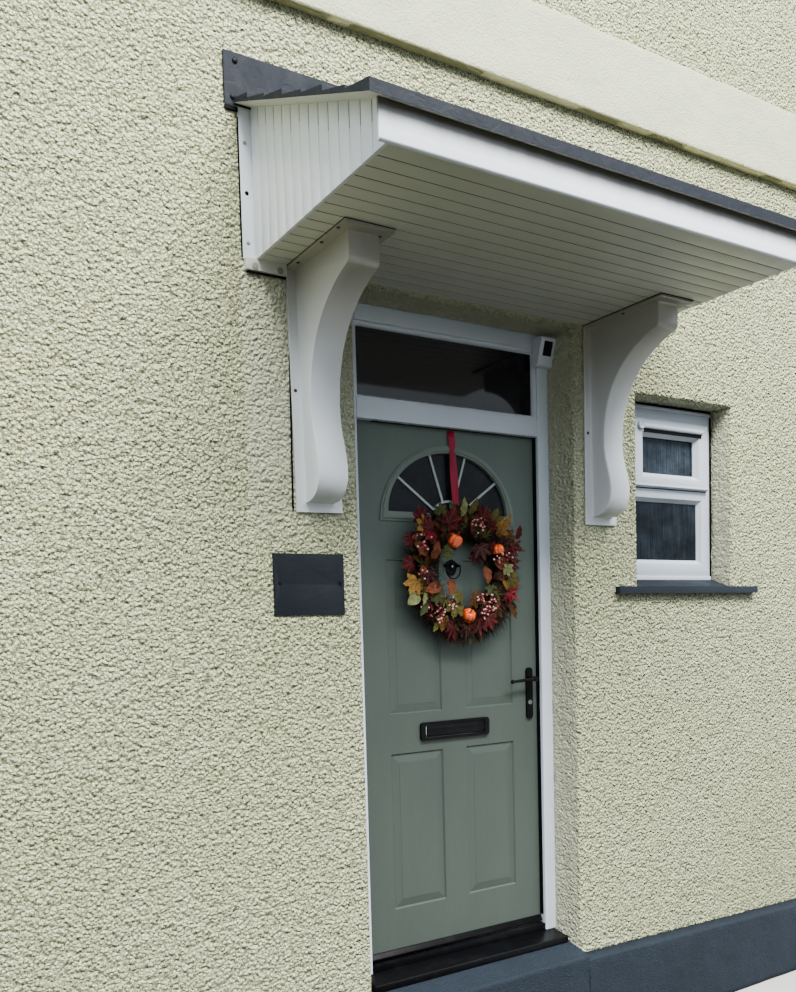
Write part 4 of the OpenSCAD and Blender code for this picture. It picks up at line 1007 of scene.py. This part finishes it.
# Side window and fanlight bead
def build_window():
    """Fixed frame, mid rail and opening light as mitred sections with rounded outer edges and sloped
    glazing beads, then the light's hood bar, knob, drip, slot and gasket."""
    lo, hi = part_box("window_frame")
    front, back, wide, sill_strip = 0.095, 0.155, 0.068, 0.018
    foot_z, rail_low, rail_top = lo.z + sill_strip, 2.123, 2.191
    section = [("o", 0.0, back)] + [(edge, inset, front + deep) for edge, inset, deep in (
        ("o", 0.0, 0.003), ("o", 0.001, 0.001), ("o", 0.003, 0.0), ("i", 0.017, 0.0), ("i", 0.0155, 0.0008),
        ("i", 0.0145, 0.0022), ("i", 0.002, 0.0165), ("i", 0.0, 0.0185))] + [("i", 0.0, back)]
    low = mitred(lo.x, hi.x, foot_z, rail_top, (wide, wide, wide, rail_top - rail_low), section)
    top = mitred(lo.x, hi.x, rail_top, hi.z, (wide, wide, 0.0, wide), section, footed=False)
    foot = block((lo.x, front - 0.008, lo.z), (hi.x, back, foot_z), 0.002, 2)
    cap = block((lo.x - 0.002, front - 0.005, hi.z - 0.0005), (hi.x + 0.006, back, hi.z + 0.0135), 0.004, 3)
    piece = make_piece("window_frame_section", *gather(low, top, foot, cap), WHITE_WINDOW, crease=32)
    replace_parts(piece, "window_frame")

    lo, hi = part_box("window_vent")
    sash = [(edge, inset, front + deep) for edge, inset, deep in (
        ("o", 0.0, 0.0), ("o", 0.0, -0.010), ("o", 0.0012, -0.0128), ("o", 0.004, -0.014),
        ("i", 0.019, -0.014), ("i", 0.0175, -0.0133), ("i", 0.0165, -0.012), ("i", 0.002, 0.006),
        ("i", 0.0, 0.008), ("i", 0.0, 0.012), ("o", 0.03, 0.012), ("o", 0.03, 0.0))]
    ring = mitred(lo.x, hi.x, lo.z, hi.z, (0.106, 0.074, 0.061, 0.072), sash)
    x0, x1, hood_z, stations = lo.x + 0.085, hi.x - 0.040, hi.z - 0.034, 24
    still = np.ones(stations)
    path = np.stack([np.linspace(x0, x1, stations), still * (front - 0.017), still * hood_z], 1)
    hood = along(path, circle(16) * (0.0080, 0.0100))
    turned_knob = [(0, 0), (0.0150, 0), (0.0165, 0.002), (0.0165, 0.0095), (0.0145, 0.0115), (0.011, 0.0095),
                   (0.004, 0.0090), (0.003, 0.0108), (0, 0.0110)]
    knob = lathe(turned_knob, (x0 - 0.009, front - 0.0142, hood_z + 0.001), "y", 28)
    drip = block((lo.x + 0.004, front - 0.0205, lo.z + 0.003), (hi.x - 0.004, front - 0.012, lo.z + 0.012),
                 0.003, 3)
    light = make_piece("window_vent_sash", *gather(ring, hood, knob, drip), WHITE_WINDOW, crease=32)
    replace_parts(light, "window_vent")
    slot = block((x0 + 0.012, front - 0.0165, hood_z - 0.0250), (x1 - 0.004, front - 0.0138, hood_z - 0.007))
    make_piece("window_vent_slot", *slot, RUBBER, smooth=False)
    gap = mitred(lo.x - 0.003, hi.x + 0.003, lo.z - 0.004, hi.z + 0.003, (0.006,) * 4,
                 [("o", 0.0, front - 0.0006), ("i", 0.0, front - 0.0006), ("i", 0.0, front + 0.004),
                  ("o", 0.0, front + 0.004)])
    make_piece("window_vent_gasket", *gap, RUBBER, crease=30)

    lo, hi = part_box("fanlight_bead")
    bead = [("o", 0.0, hi.y), ("o", 0.0, lo.y + 0.001), ("o", 0.001, lo.y), ("i", 0.008, lo.y),
            ("i", 0.0065, lo.y + 0.001), ("i", 0.0, hi.y - 0.003), ("i", 0.0, hi.y)]
    ring = mitred(lo.x, hi.x, lo.z, hi.z, (0.014,) * 4, bead)
    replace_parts(make_piece("fanlight_bead_section", *ring, WHITE_FRAME, crease=30), "fanlight_bead")


build_window()


# Wreath
WREATH_X, WREATH_Z = 0.030, 1.821
RING_R = 0.168
CORE_R, CORE_OUT = 0.024, 0.031  # the twig core's thickness, and its centre's way out from the door
TIE_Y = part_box("wreath_body")[1].y


def foliage_finish():
    """Silk leaves: each leaf's own tint, pale midrib and slanting side veins from its UVs, darker
    blotches."""
    f = Finish("silk_leaves")
    uv = f.node("UVMap")
    uv.uv_map = "UVMap"
    across = f.maths("ABSOLUTE", f.axis(0, uv.outputs[0]), 0.0)
    slant = f.less(f.times(f.axis(1, uv.outputs[0]), 11.0), f.times(across, 3.4))
    side = f.ramp(f.maths("FRACT", slant, 1.0), (0.0, 1.0), (0.16, 0.0), (0.84, 0.0), (1.0, 1.0))
    rib = f.ramp(across, (0.03, 1.0), (0.09, 0.0))
    veins = f.maths("MAXIMUM", f.times(side, 0.45), rib)
    blotch = f.ramp(f.noise(70, 4, 0.6), (0.3, 0.55), (0.7, 1.15))
    body = f.tinted(f.tint(), blotch)
    pale = f.between(0.3, body, (0.50, 0.38, 0.18, 1.0))
    f.colour(f.between(f.times(veins, 0.3), body, pale))
    return f.relief(f.times(veins, -1.0), 0.0012).set(rough=0.6, spec=0.07).mat


def outline_leaf(angles, radii, rings=4, steps=60, cup=0.18, fold=0.05, seed=0):
    """A lobed leaf of unit reach, base at the origin and tip along +Y: radius from a table of angles,
    mirrored left to right; height is a cup (radius squared) less a fold along each lobe's rib. Returns
    points, uv, quads."""
    a = np.linspace(-math.pi, math.pi, steps, endpoint=False)
    R = np.interp(np.degrees(np.abs(a)), angles, radii)
    s = np.linspace(0, 1, rings + 1)
    A, S = np.meshgrid(a, s, indexing="ij")
    rad = R[:, None] * S
    x, y = rad * np.sin(A), rad * np.cos(A) + 0.25
    lobes = np.radians(np.array([-100.0, -46.0, 0.0, 46.0, 100.0]))
    off = A[..., None] - lobes
    near = np.abs(off).argmin(-1)
    d = np.take_along_axis(off, near[..., None], -1)[..., 0]
    r = rng(seed)
    z = -cup * rad**2 * (0.7 + 0.6 * r.random()) + fold * np.abs(d) * S - fold * 0.5 * S
    z = z + 0.05 * np.sin(3 * A + r.random() * 6) * S**2
    p = np.stack([x, y, z], -1).reshape(-1, 3)
    uv = np.stack([d * 1.6 * S, S], -1).reshape(-1, 2)
    return p, uv, lattice(steps, rings + 1, wrap_u=True)


def blade_leaf(width=0.3, lobes=0, depth=0.0, cup=0.22, droop=0.15, ns=16, nt=6, seed=0):
    """A leaf of unit length along +Y: half width = width times sin(pi s^0.85), cut by sine lobes; it is
    trough-shaped across (t squared), droops along s squared and waves at its margin. Returns points, uv,
    quads."""
    s = np.linspace(0, 1, ns + 1)
    t = np.linspace(-1, 1, nt + 1)
    S, T = np.meshgrid(s, t, indexing="ij")
    half = width * np.sin(np.pi * S**0.85) ** 0.8
    half = half * (1 - depth * (0.5 + 0.5 * np.cos(2 * np.pi * lobes * S))) if lobes else half
    r = rng(seed)
    x = half * T
    y = S
    z = cup * np.abs(T) ** 1.5 * half - droop * S**2 + 0.025 * np.sin(S * 16 + r.random() * 6) * np.abs(T)
    p = np.stack([x, y, z], -1).reshape(-1, 3)
    uv = np.stack([T, S], -1).reshape(-1, 2)
    return p, uv, lattice(ns + 1, nt + 1, flip=True)


MAPLE = ([0, 7, 11, 17, 24, 31, 38, 43, 50, 56, 64, 72, 80, 88, 96, 104, 114, 128, 150, 180],
         [1.0, 0.82, 0.88, 0.70, 0.60, 0.70, 0.92, 0.84, 0.95, 0.74, 0.62, 0.58, 0.72, 0.70, 0.78, 0.60,
          0.50, 0.46, 0.36, 0.08])
SPIKY = ([0, 5, 10, 15, 22, 30, 36, 41, 46, 52, 60, 70, 80, 90, 100, 112, 130, 155, 180],
         [1.0, 0.62, 0.8, 0.4, 0.26, 0.34, 0.74, 0.5, 0.92, 0.4, 0.22, 0.3, 0.62, 0.4, 0.66, 0.26, 0.2,
          0.14, 0.05])


def turned(p, yaw, lean, roll, size, place):
    """Leaf points rolled about their rib, leaned out of the door's plane, turned in it, sized and placed.
    Local +Z looks out of the door (-Y); yaw 0 points the tip up."""
    p = p * size
    cr, sr = math.cos(roll), math.sin(roll)
    p = np.stack([p[:, 0] * cr + p[:, 2] * sr, p[:, 1], -p[:, 0] * sr + p[:, 2] * cr], 1)
    cl, sl = math.cos(lean), math.sin(lean)
    p = np.stack([p[:, 0], p[:, 1] * cl - p[:, 2] * sl, p[:, 1] * sl + p[:, 2] * cl], 1)
    cy, sy = math.cos(yaw), math.sin(yaw)
    x, z = p[:, 0] * cy + p[:, 1] * sy, -p[:, 0] * sy + p[:, 1] * cy
    return np.stack([x, -p[:, 2], z], 1) + np.asarray(place)


WINE, CRIMSON, RUST, UMBER = (76, 12, 24), (128, 14, 38), (108, 58, 38), (78, 48, 26)
MUSTARD, LIME, OLIVE, MOSS, PLUM = (134, 98, 44), (126, 130, 84), (80, 76, 34), (60, 68, 38), (46, 12, 20)
# place (x, z), form, tint, length in metres, way the tip points in degrees from up, clockwise
LEAVES = [
    (-0.140, 1.965, "maple", WINE, 0.075, -35), (-0.167, 2.000, "maple", WINE, 0.07, -20),
    (-0.090, 2.025, "maple", MOSS, 0.055, -10), (-0.066, 1.985, "maple", WINE, 0.095, 25),
    (-0.107, 1.955, "maple", CRIMSON, 0.085, -70), (-0.150, 1.975, "maple", MUSTARD, 0.075, -60),
    (-0.045, 1.955, "maple", PLUM, 0.08, 150), (0.005, 2.020, "blade", LIME, 0.085, 8),
    (0.030, 2.030, "blade", OLIVE, 0.08, 28), (-0.020, 2.015, "blade", MOSS, 0.08, -30),
    (0.060, 1.990, "maple", UMBER, 0.075, 60), (0.095, 2.010, "maple", WINE, 0.07, 15),
    (0.137, 1.995, "maple", OLIVE, 0.085, 20), (0.160, 1.975, "maple", MUSTARD, 0.075, 70),
    (0.189, 1.985, "blade", MUSTARD, 0.08, 35), (0.195, 1.955, "maple", UMBER, 0.07, 95),
    (0.110, 1.935, "blade", PLUM, 0.075, 120), (0.075, 1.925, "maple", PLUM, 0.08, 170),
    (0.215, 1.925, "spiky", WINE, 0.105, 105), (0.190, 1.900, "spiky", WINE, 0.09, 130),
    (0.250, 1.945, "blade", WINE, 0.07, 20), (0.150, 1.860, "beech", RUST, 0.095, 100),
    (0.100, 1.845, "beech", RUST, 0.082, 178), (0.190, 1.840, "maple", LIME, 0.055, 110),
    (0.205, 1.800, "maple", OLIVE, 0.075, 100), (0.180, 1.795, "blade", MUSTARD, 0.055, 150),
    (0.195, 1.750, "spiky", CRIMSON, 0.085, 120), (0.215, 1.765, "maple", CRIMSON, 0.06, 80),
    (0.165, 1.735, "blade", UMBER, 0.08, 205), (0.150, 1.700, "maple", UMBER, 0.065, 150),
    (0.120, 1.690, "blade", RUST, 0.075, 170), (0.100, 1.665, "maple", WINE, 0.075, 160),
    (0.070, 1.640, "spiky", WINE, 0.08, 175), (0.020, 1.640, "spiky", PLUM, 0.085, 190),
    (-0.044, 1.640, "spiky", WINE, 0.09, 200), (-0.020, 1.690, "maple", MUSTARD, 0.075, 150),
    (-0.012, 1.752, "maple", OLIVE, 0.07, 215), (-0.031, 1.720, "maple", OLIVE, 0.085, 200),
    (0.045, 1.735, "maple", UMBER, 0.07, 120), (-0.084, 1.665, "maple", MUSTARD, 0.07, 190),
    (-0.105, 1.650, "blade", OLIVE, 0.06, 215), (-0.095, 1.775, "beech", RUST, 0.09, 255),
    (-0.160, 1.715, "blade", MOSS, 0.07, 215), (-0.190, 1.745, "lime", LIME, 0.075, 235),
    (-0.165, 1.750, "blade", LIME, 0.06, 200), (-0.195, 1.800, "maple", MUSTARD, 0.085, 215),
    (-0.150, 1.770, "maple", MUSTARD, 0.06, 160), (-0.125, 1.745, "maple", MOSS, 0.06, 140),
    (-0.165, 1.850, "beech", RUST, 0.06, 200), (-0.205, 1.855, "maple", WINE, 0.065, 250),
    (-0.150, 1.832, "maple", PLUM, 0.07, 190), (-0.135, 1.865, "beech", RUST, 0.085, 15),
    (-0.150, 1.880, "beech", RUST, 0.085, -50), (-0.085, 1.905, "maple", MOSS, 0.065, 130),
    (-0.045, 1.905, "blade", MOSS, 0.055, 80), (-0.200, 1.930, "maple", WINE, 0.06, -75),
    (-0.055, 1.800, "beech", RUST, 0.075, 186), (0.060, 1.900, "maple", PLUM, 0.075, 150),
    (0.125, 1.775, "maple", MOSS, 0.06, 175), (0.215, 1.700, "blade", UMBER, 0.07, 150),
]

# place (x, z) and radius of the three pumpkins, then their tip and roll
PUMPKINS = ((-0.025, 1.936, 0.030), (0.169, 1.906, 0.0235), (0.029, 1.664, 0.0285))
PUMPKIN_TURNS = ((0.5, 0.3), (-0.2, 0.1), (0.9, -0.2))
# each form's maker, what it is given, and its size against the listed length
FORMS = {"maple": (outline_leaf, MAPLE, 0.78), "spiky": (outline_leaf, SPIKY, 0.8),
         "lime": (blade_leaf, (0.36, 0, 0, 0.25, 0.1), 1), "beech": (blade_leaf, (0.29, 0, 0, 0.3, 0.14), 1),
         "blade": (blade_leaf, (0.24, 3.5, 0.22, 0.3, 0.2), 1)}
LISTED_SIZE = 0.84
FRONT, BEHIND_FRUIT = 0.054, 0.032  # how far out from the door the listed leaves lie
# leaves strewn round the ring: how many, their tints, half the ring's width, and size, swing and depth with
# the share of each that is left to chance, and the first seed
STREWN = (
    (96, (WINE, UMBER, MOSS, PLUM, RUST, OLIVE), 0.036, (0.040, 0.016), 1.6, (0.044, 0.012), 500),
    # this deeper layer takes darker copies of the tints: painted shade
    (170, (PLUM, (62, 12, 22), (38, 28, 14), (32, 36, 20), (60, 36, 18), (46, 30, 18)), 0.042,
     (0.055, 0.02), 1.2, (0.02, 0.025), 200),
)


def build_foliage():
    """All leaves in one mesh: the listed ones in front, smaller ones strewn behind to close the ring."""
    r = rng(41)
    patches, uvs, tints = [], [], []

    def lay(form, colour, size, x, z, yaw, seed, depth, lean):
        maker, given, scale = FORMS[form]
        p, uv, q = maker(*given, seed=seed)
        roll = 0.5 * (rng(seed).random() - 0.5)
        patches.append((turned(p, yaw, lean, roll, size * scale, (x, TIE_Y - depth, z)), q))
        uvs.append(uv)
        edge = 0.75 + 0.5 * uv[:, 1:2] * (0.6 + 0.4 * rng(seed + 1).random())
        tints.append(np.clip(np.array(tone(*colour)[:3]) * edge, 0, 1))

    for k, (x, z, form, colour, size, yaw) in enumerate(LEAVES):
        way, size = math.radians(yaw), LISTED_SIZE * size
        mx, mz = x + 0.4 * size * math.sin(way), z + 0.4 * size * math.cos(way)
        clear = min(math.hypot(mx - px, mz - pz) - pr for px, pz, pr in PUMPKINS)
        deep = FRONT + 0.016 * r.random() if clear > 0.022 else BEHIND_FRUIT
        lay(form, colour, size, x, z, way, k, deep, 0.05 + 0.4 * r.random())
    for count, colours, wide, (size, more), swing, (deep, deeper), seed in STREWN:
        for k in range(count):
            a = r.random() * 2 * math.pi
            d = RING_R + wide * (2 * r.random() - 1)
            lay(("maple", "blade", "spiky")[k % 3], colours[k % 6], size + more * r.random(),
                WREATH_X + d * math.sin(a), WREATH_Z + d * math.cos(a), a + swing * (r.random() - 0.5),
                seed + k, deep + deeper * r.random(), 0.2 + 0.5 * r.random())
    points, quads = gather(*patches)
    piece = make_piece("wreath_leaves", points, quads, foliage_finish(), "door", uv=np.concatenate(uvs),
                       tint=np.concatenate(tints))


NEEDLES = 20000


def build_needles():
    """The ring's twig core and its fringe: tapered blades that leave the core at random angles, swept one
    way round."""
    r = rng(7)
    n = NEEDLES
    a = r.random(n) * 2 * math.pi
    b = r.random(n) * 2 * math.pi
    out = np.stack([np.sin(a) * np.cos(b), -np.abs(np.sin(b)) * 0.3, np.cos(a) * np.cos(b)], 1)
    sweep = np.stack([np.cos(a), np.zeros(n), -np.sin(a)], 1)
    way = out + sweep * (0.25 + 0.8 * r.random(n))[:, None] + 0.35 * r.normal(size=(n, 3))
    way[:, 1] = np.clip(way[:, 1], -0.45, 0.25)
    way = unit(way)
    centre = np.array([WREATH_X, TIE_Y - 0.03, WREATH_Z])
    root = centre + np.stack([np.sin(a), 0 * a, np.cos(a)], 1) * RING_R + out * 0.018
    length = 0.034 + 0.046 * r.random(n)
    inner = np.cos(b) < -0.2
    length = np.where(inner, length * 0.55, length)
    low = (np.cos(a) < -0.3) | (np.sin(a) < -0.5)
    length = np.where(low & ~inner, length * 1.25, length)
    side = unit(np.cross(way, r.normal(size=(n, 3))))
    steps = np.array([0.0, 0.5, 1.0])
    wide = np.array([0.0011, 0.0009, 0.0001])[None, :, None]
    droop = np.array([0.0, -0.0015, -0.006])
    mid = root[:, None, :] + way[:, None, :] * (length[:, None] * steps)[..., None]
    mid[..., 2] += droop
    mid[..., 1] = np.minimum(mid[..., 1], TIE_Y - 0.0005)
    p = np.stack([mid - side[:, None, :] * wide, mid + side[:, None, :] * wide], 2)
    base = (np.arange(n) * 6)[:, None]
    quads = np.concatenate([base + np.array([0, 1, 3, 2]), base + np.array([2, 3, 5, 4])])
    f = Finish("dark_needles").grain(0.0003, 900, 2)
    f.colour(f.ramp(f.noise(38, 3, 0.6), (0.3, (16, 15, 11)), (0.55, (30, 26, 17)), (0.75, (46, 24, 20))))
    f.set(rough=0.7, spec=0.06)
    needles = make_piece("wreath_needles", p, quads, f.mat, "door")
    round_ring, round_core = [np.linspace(0, 2 * math.pi, n + 1)[:-1] for n in (120, 18)]
    A, B = np.meshgrid(round_ring, round_core, indexing="ij")
    thick = CORE_R * (1 + 0.25 * np.sin(9 * B + 24 * A) + 0.15 * np.sin(5 * B - 17 * A))
    ring = RING_R + thick * np.cos(B)
    q = np.stack([WREATH_X + ring * np.sin(A), TIE_Y - CORE_OUT + thick * np.sin(B),
                  WREATH_Z + ring * np.cos(A)], -1)
    core = make_piece("wreath_core", q, lattice(120, 18, True, True, flip=True), f.mat, "door")
    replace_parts(core, "wreath_body")


def pumpkin_parts():
    """Three pumpkins (a sphere pinched at its poles, ribbed by |sin 4a|) and their curved stems."""
    round_it, up_it = np.linspace(0, 2 * math.pi, 61)[:-1], np.linspace(-math.pi / 2, math.pi / 2, 17)
    A, B = np.meshgrid(round_it, up_it, indexing="ij")
    skins, stems = [], []
    for (x, z, radius), (tip, roll) in zip(PUMPKINS, PUMPKIN_TURNS):
        rib = 1 - 0.20 * (1 - np.abs(np.sin(4 * A)) ** 0.7) * np.cos(B) ** 0.5
        rr = radius * rib * np.cos(B) ** 0.75
        hh = radius * 0.92 * np.sin(B) - radius * 0.22 * np.exp(-((np.cos(B) / 0.35) ** 2)) * np.sign(B)
        p = np.stack([rr * np.cos(A), rr * np.sin(A), hh], -1).reshape(-1, 3)
        path = np.stack([np.linspace(0, 0.1, 5) ** 2 * 0.3, np.zeros(5),
                         radius * np.linspace(0.6, 1.22, 5)], 1)
        sp, sq = along(path, circle(7) * radius * 0.1)
        turn = np.array(Matrix.Rotation(roll, 3, "Y") @ Matrix.Rotation(tip, 3, "X"))
        place = np.array([x, TIE_Y - 0.083 + radius, z])
        skins.append((p @ turn.T + place, lattice(60, 17, wrap_u=True)))
        stems.append((sp @ turn.T + place, sq))
    return skins, stems


# place (x, z), number of berries and spread of each spray
SPRAYS = ((-0.190, 1.930, 20, 0.036), (-0.165, 1.915, 8, 0.02), (0.062, 1.997, 16, 0.034),
          (0.090, 2.000, 10, 0.02), (-0.104, 1.684, 12, 0.020), (-0.063, 1.704, 12, 0.022),
          (-0.108, 1.649, 9, 0.016), (-0.140, 1.676, 5, 0.014), (0.078, 1.725, 16, 0.026),
          (0.118, 1.715, 14, 0.024), (0.093, 1.674, 14, 0.024), (0.128, 1.690, 10, 0.02),
          (0.165, 1.872, 12, 0.030), (0.200, 1.885, 6, 0.02), (-0.180, 1.820, 6, 0.02),
          (-0.165, 1.700, 4, 0.02))
# half the berries are painted pale pink, standing in for the highlights on lit berries: painted highlight
PALE_BERRY_HIGHLIGHT, RED_BERRY = (228, 172, 164), (150, 44, 52)


def berry_parts():
    """Sprays of berries, each berry on a bowed twig from its spray's root."""
    r = rng(19)
    berries, twigs, berry_tones = [], [], []
    t = np.linspace(0, 1, 4)[:, None]
    for x, z, n, wide in SPRAYS:
        root = np.array([x, TIE_Y - 0.045, z - 0.012])
        for _ in range(n):
            off = r.normal(size=2) * wide * 0.5
            centre = np.array([x + off[0], TIE_Y - (0.066 + 0.014 * r.random()), z + off[1]])
            berries.append(ball(centre, np.full(3, 0.0032 + 0.0012 * r.random()), 8, 6))
            berry_tone = np.array(tone(*(PALE_BERRY_HIGHLIGHT if r.random() < 0.5 else RED_BERRY))[:3])
            berry_tones.append(np.repeat(berry_tone[None], len(berries[-1][0]), 0))
            path = root * (1 - t) + centre * t + np.array([0, -0.004, 0]) * np.sin(t * math.pi)
            twigs.append(along(path, circle(5) * 0.0008))
    return berries, twigs, berry_tones


def cone_parts():
    """Two cones of scales set round a stem by the golden angle."""
    scales, count, golden = [], 54, 2.39996
    up = np.array([0.0, -1.0, 0.0])
    p0, _, q = blade_leaf(0.42, 0, 0, 0.5, -0.25, 3, 2)
    for x, z, size in ((0.136, 1.752, 0.026), (0.060, 1.955, 0.02)):
        p = p0 * size * 0.42
        for k in range(count):
            h, a = k / count, k * golden
            rad = size * math.sin(math.pi * (0.12 + 0.8 * h)) * 0.62
            out = np.array([math.cos(a), 0.0, math.sin(a)])
            across = np.array([-math.sin(a), 0.0, math.cos(a)])
            tip, face = out * 0.8 + up * 0.6, up * 0.8 - out * 0.6
            scale = p[:, 0:1] * across + p[:, 1:2] * tip + p[:, 2:3] * face
            scales.append((scale + np.array([x, TIE_Y - 0.045 - h * size, z]) + out * rad * 0.45, q))
    return scales


def build_fruit():
    """Pumpkins, berry sprays, their stalks, and two cones."""
    skin = speckled("pumpkin_skin", (60, 5, 0.6), (0.3, (240, 96, 16)), (0.75, (206, 60, 10)),
                    0.0006, (300, 2), rough=0.24, spec=0.45)
    stalk = speckled("dry_stalks", (90, 3), (0.3, (96, 84, 46)), (0.7, (70, 58, 34)),
                     0.0006, (400, 2), rough=0.8)
    cone = speckled("cone_scales", (120, 3), (0.3, (44, 32, 22)), (0.7, (84, 62, 42)),
                    0.0006, (500, 2), rough=0.8)
    berry = Finish("berry_skin").grain(0.0003, 700, 2)
    mottle = berry.ramp(berry.noise(300, 3, 0.6), (0.35, (1, 1, 1, 1)), (0.7, (0.62, 0.5, 0.5, 1)))
    berry.colour(berry.tinted(berry.tint(), mottle)).set(rough=0.24, spec=0.35)
    skins, stems = pumpkin_parts()
    berries, twigs, berry_tones = berry_parts()
    make_piece("wreath_pumpkins", *gather(*skins), skin, "door")
    make_piece("wreath_berries", *gather(*berries), berry.mat, "door",
                       tint=np.concatenate(berry_tones))
    make_piece("wreath_stalks", *gather(*stems, *twigs), stalk, "door")
    make_piece("wreath_cones", *gather(*cone_parts()), cone, "door")


def build_ribbon():
    """A satin strap from the leaf's top edge to the ring: it hangs straight with a slight lean, 30 mm wide,
    gently folded across (by 1 - t squared) and rippled along its length."""
    lo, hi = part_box("wreath_ribbon")
    top, foot = hi.z, WREATH_Z + RING_R - 0.01
    along_n, across_n = 60, 9
    S, T = np.meshgrid(np.linspace(0, 1, along_n), np.linspace(-1, 1, across_n), indexing="ij")
    half = 0.0150 + 0.0004 * np.clip(S * 3, 0, 1)
    x = 0.010 + 0.018 * S + half * T * (1 - 0.06 * np.sin(S * 9))
    z = top + (foot - top) * S
    y = lo.y + 0.0035 - 0.0016 * (1 - T**2) - 0.0012 * np.sin(S * 14 + 1.5 * T)
    y = np.where(S < 0.06, y + (1 - S / 0.06) * 0.009, y)
    f = Finish("satin_ribbon").set(rough=0.36, spec=0.16)
    f.grain(0.0003, 900, 2, 0.5, f.stretched(1, 1, 0.3))
    f.mottled((24, 3, 0.5, f.stretched(2, 2, 0.5)), (0.3, (158, 18, 52)), (0.7, (120, 10, 38)))
    p = np.stack([x, y, z], -1)
    piece = make_piece("ribbon_strap", p, lattice(along_n, across_n), f.mat, "door")
    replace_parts(piece, "wreath_ribbon")


build_foliage()
build_needles()
build_fruit()
build_ribbon()


# Stage and light
FLOOR_HALF, FLOOR_Z = 14, -0.001
SKY_STRENGTH, LAMP_POWER = 3.05, 3000
SKY = ((0.0, (0.015, 0.016, 0.014, 1)), (0.34, (0.03, 0.032, 0.028, 1)), (0.44, (0.16, 0.17, 0.17, 1)),
       (0.56, (0.24, 0.26, 0.28, 1)), (0.72, (0.75, 0.84, 0.95, 1)), (1.0, (1.0, 1.0, 1.0, 1)))


def build_stage():
    """A plain pale floor, a pale sky that is brightest overhead, and one broad soft light over the
    front."""
    mesh = bpy.data.meshes.new("floor")
    corners = [(x * FLOOR_HALF, y * FLOOR_HALF, FLOOR_Z) for x, y in ((-1, -1), (1, -1), (1, 1), (-1, 1))]
    mesh.from_pydata(corners, [], [(0, 1, 2, 3)])
    floor = bpy.data.objects.new("floor", mesh)
    bpy.context.scene.collection.objects.link(floor)
    floor.visible_diffuse = False
    pale = Finish("pale_floor").mottled((3, 3), (0.3, (0.42, 0.42, 0.41, 1)), (0.7, (0.46, 0.46, 0.45, 1)))
    mesh.materials.append(pale.set(rough=0.9).mat)

    world = bpy.data.worlds.new("soft_sky")
    bpy.context.scene.world = world
    world.use_nodes = True
    tree = world.node_tree
    sky = tree.nodes["Background"]
    sky.inputs[1].default_value = SKY_STRENGTH
    way, split, half, ramp = [tree.nodes.new("ShaderNode" + kind)
                              for kind in ("TexCoord", "SeparateXYZ", "Math", "ValToRGB")]
    half.operation = "MULTIPLY_ADD"
    half.inputs[1].default_value = half.inputs[2].default_value = 0.5
    fill_ramp(ramp, SKY)
    for a, b in ((way.outputs["Generated"], split.inputs[0]), (split.outputs[2], half.inputs[0]),
                 (half.outputs[0], ramp.inputs[0]), (ramp.outputs[0], sky.inputs[0])):
        tree.links.new(a, b)

    lamp = bpy.data.lights.new("broad_light", "AREA")
    lamp.shape, lamp.size, lamp.size_y = "RECTANGLE", 7.0, 3.2
    lamp.energy, lamp.color = LAMP_POWER, (1.0, 0.99, 0.94)
    light = bpy.data.objects.new("broad_light", lamp)
    bpy.context.scene.collection.objects.link(light)
    place = Vector((-0.2, -4.4, 8.2))
    aim = Vector((0.2, 0.0, 1.6)) - place
    light.matrix_world = Matrix.Translation(place) @ aim.to_track_quat("-Z", "Y").to_matrix().to_4x4()


build_stage()
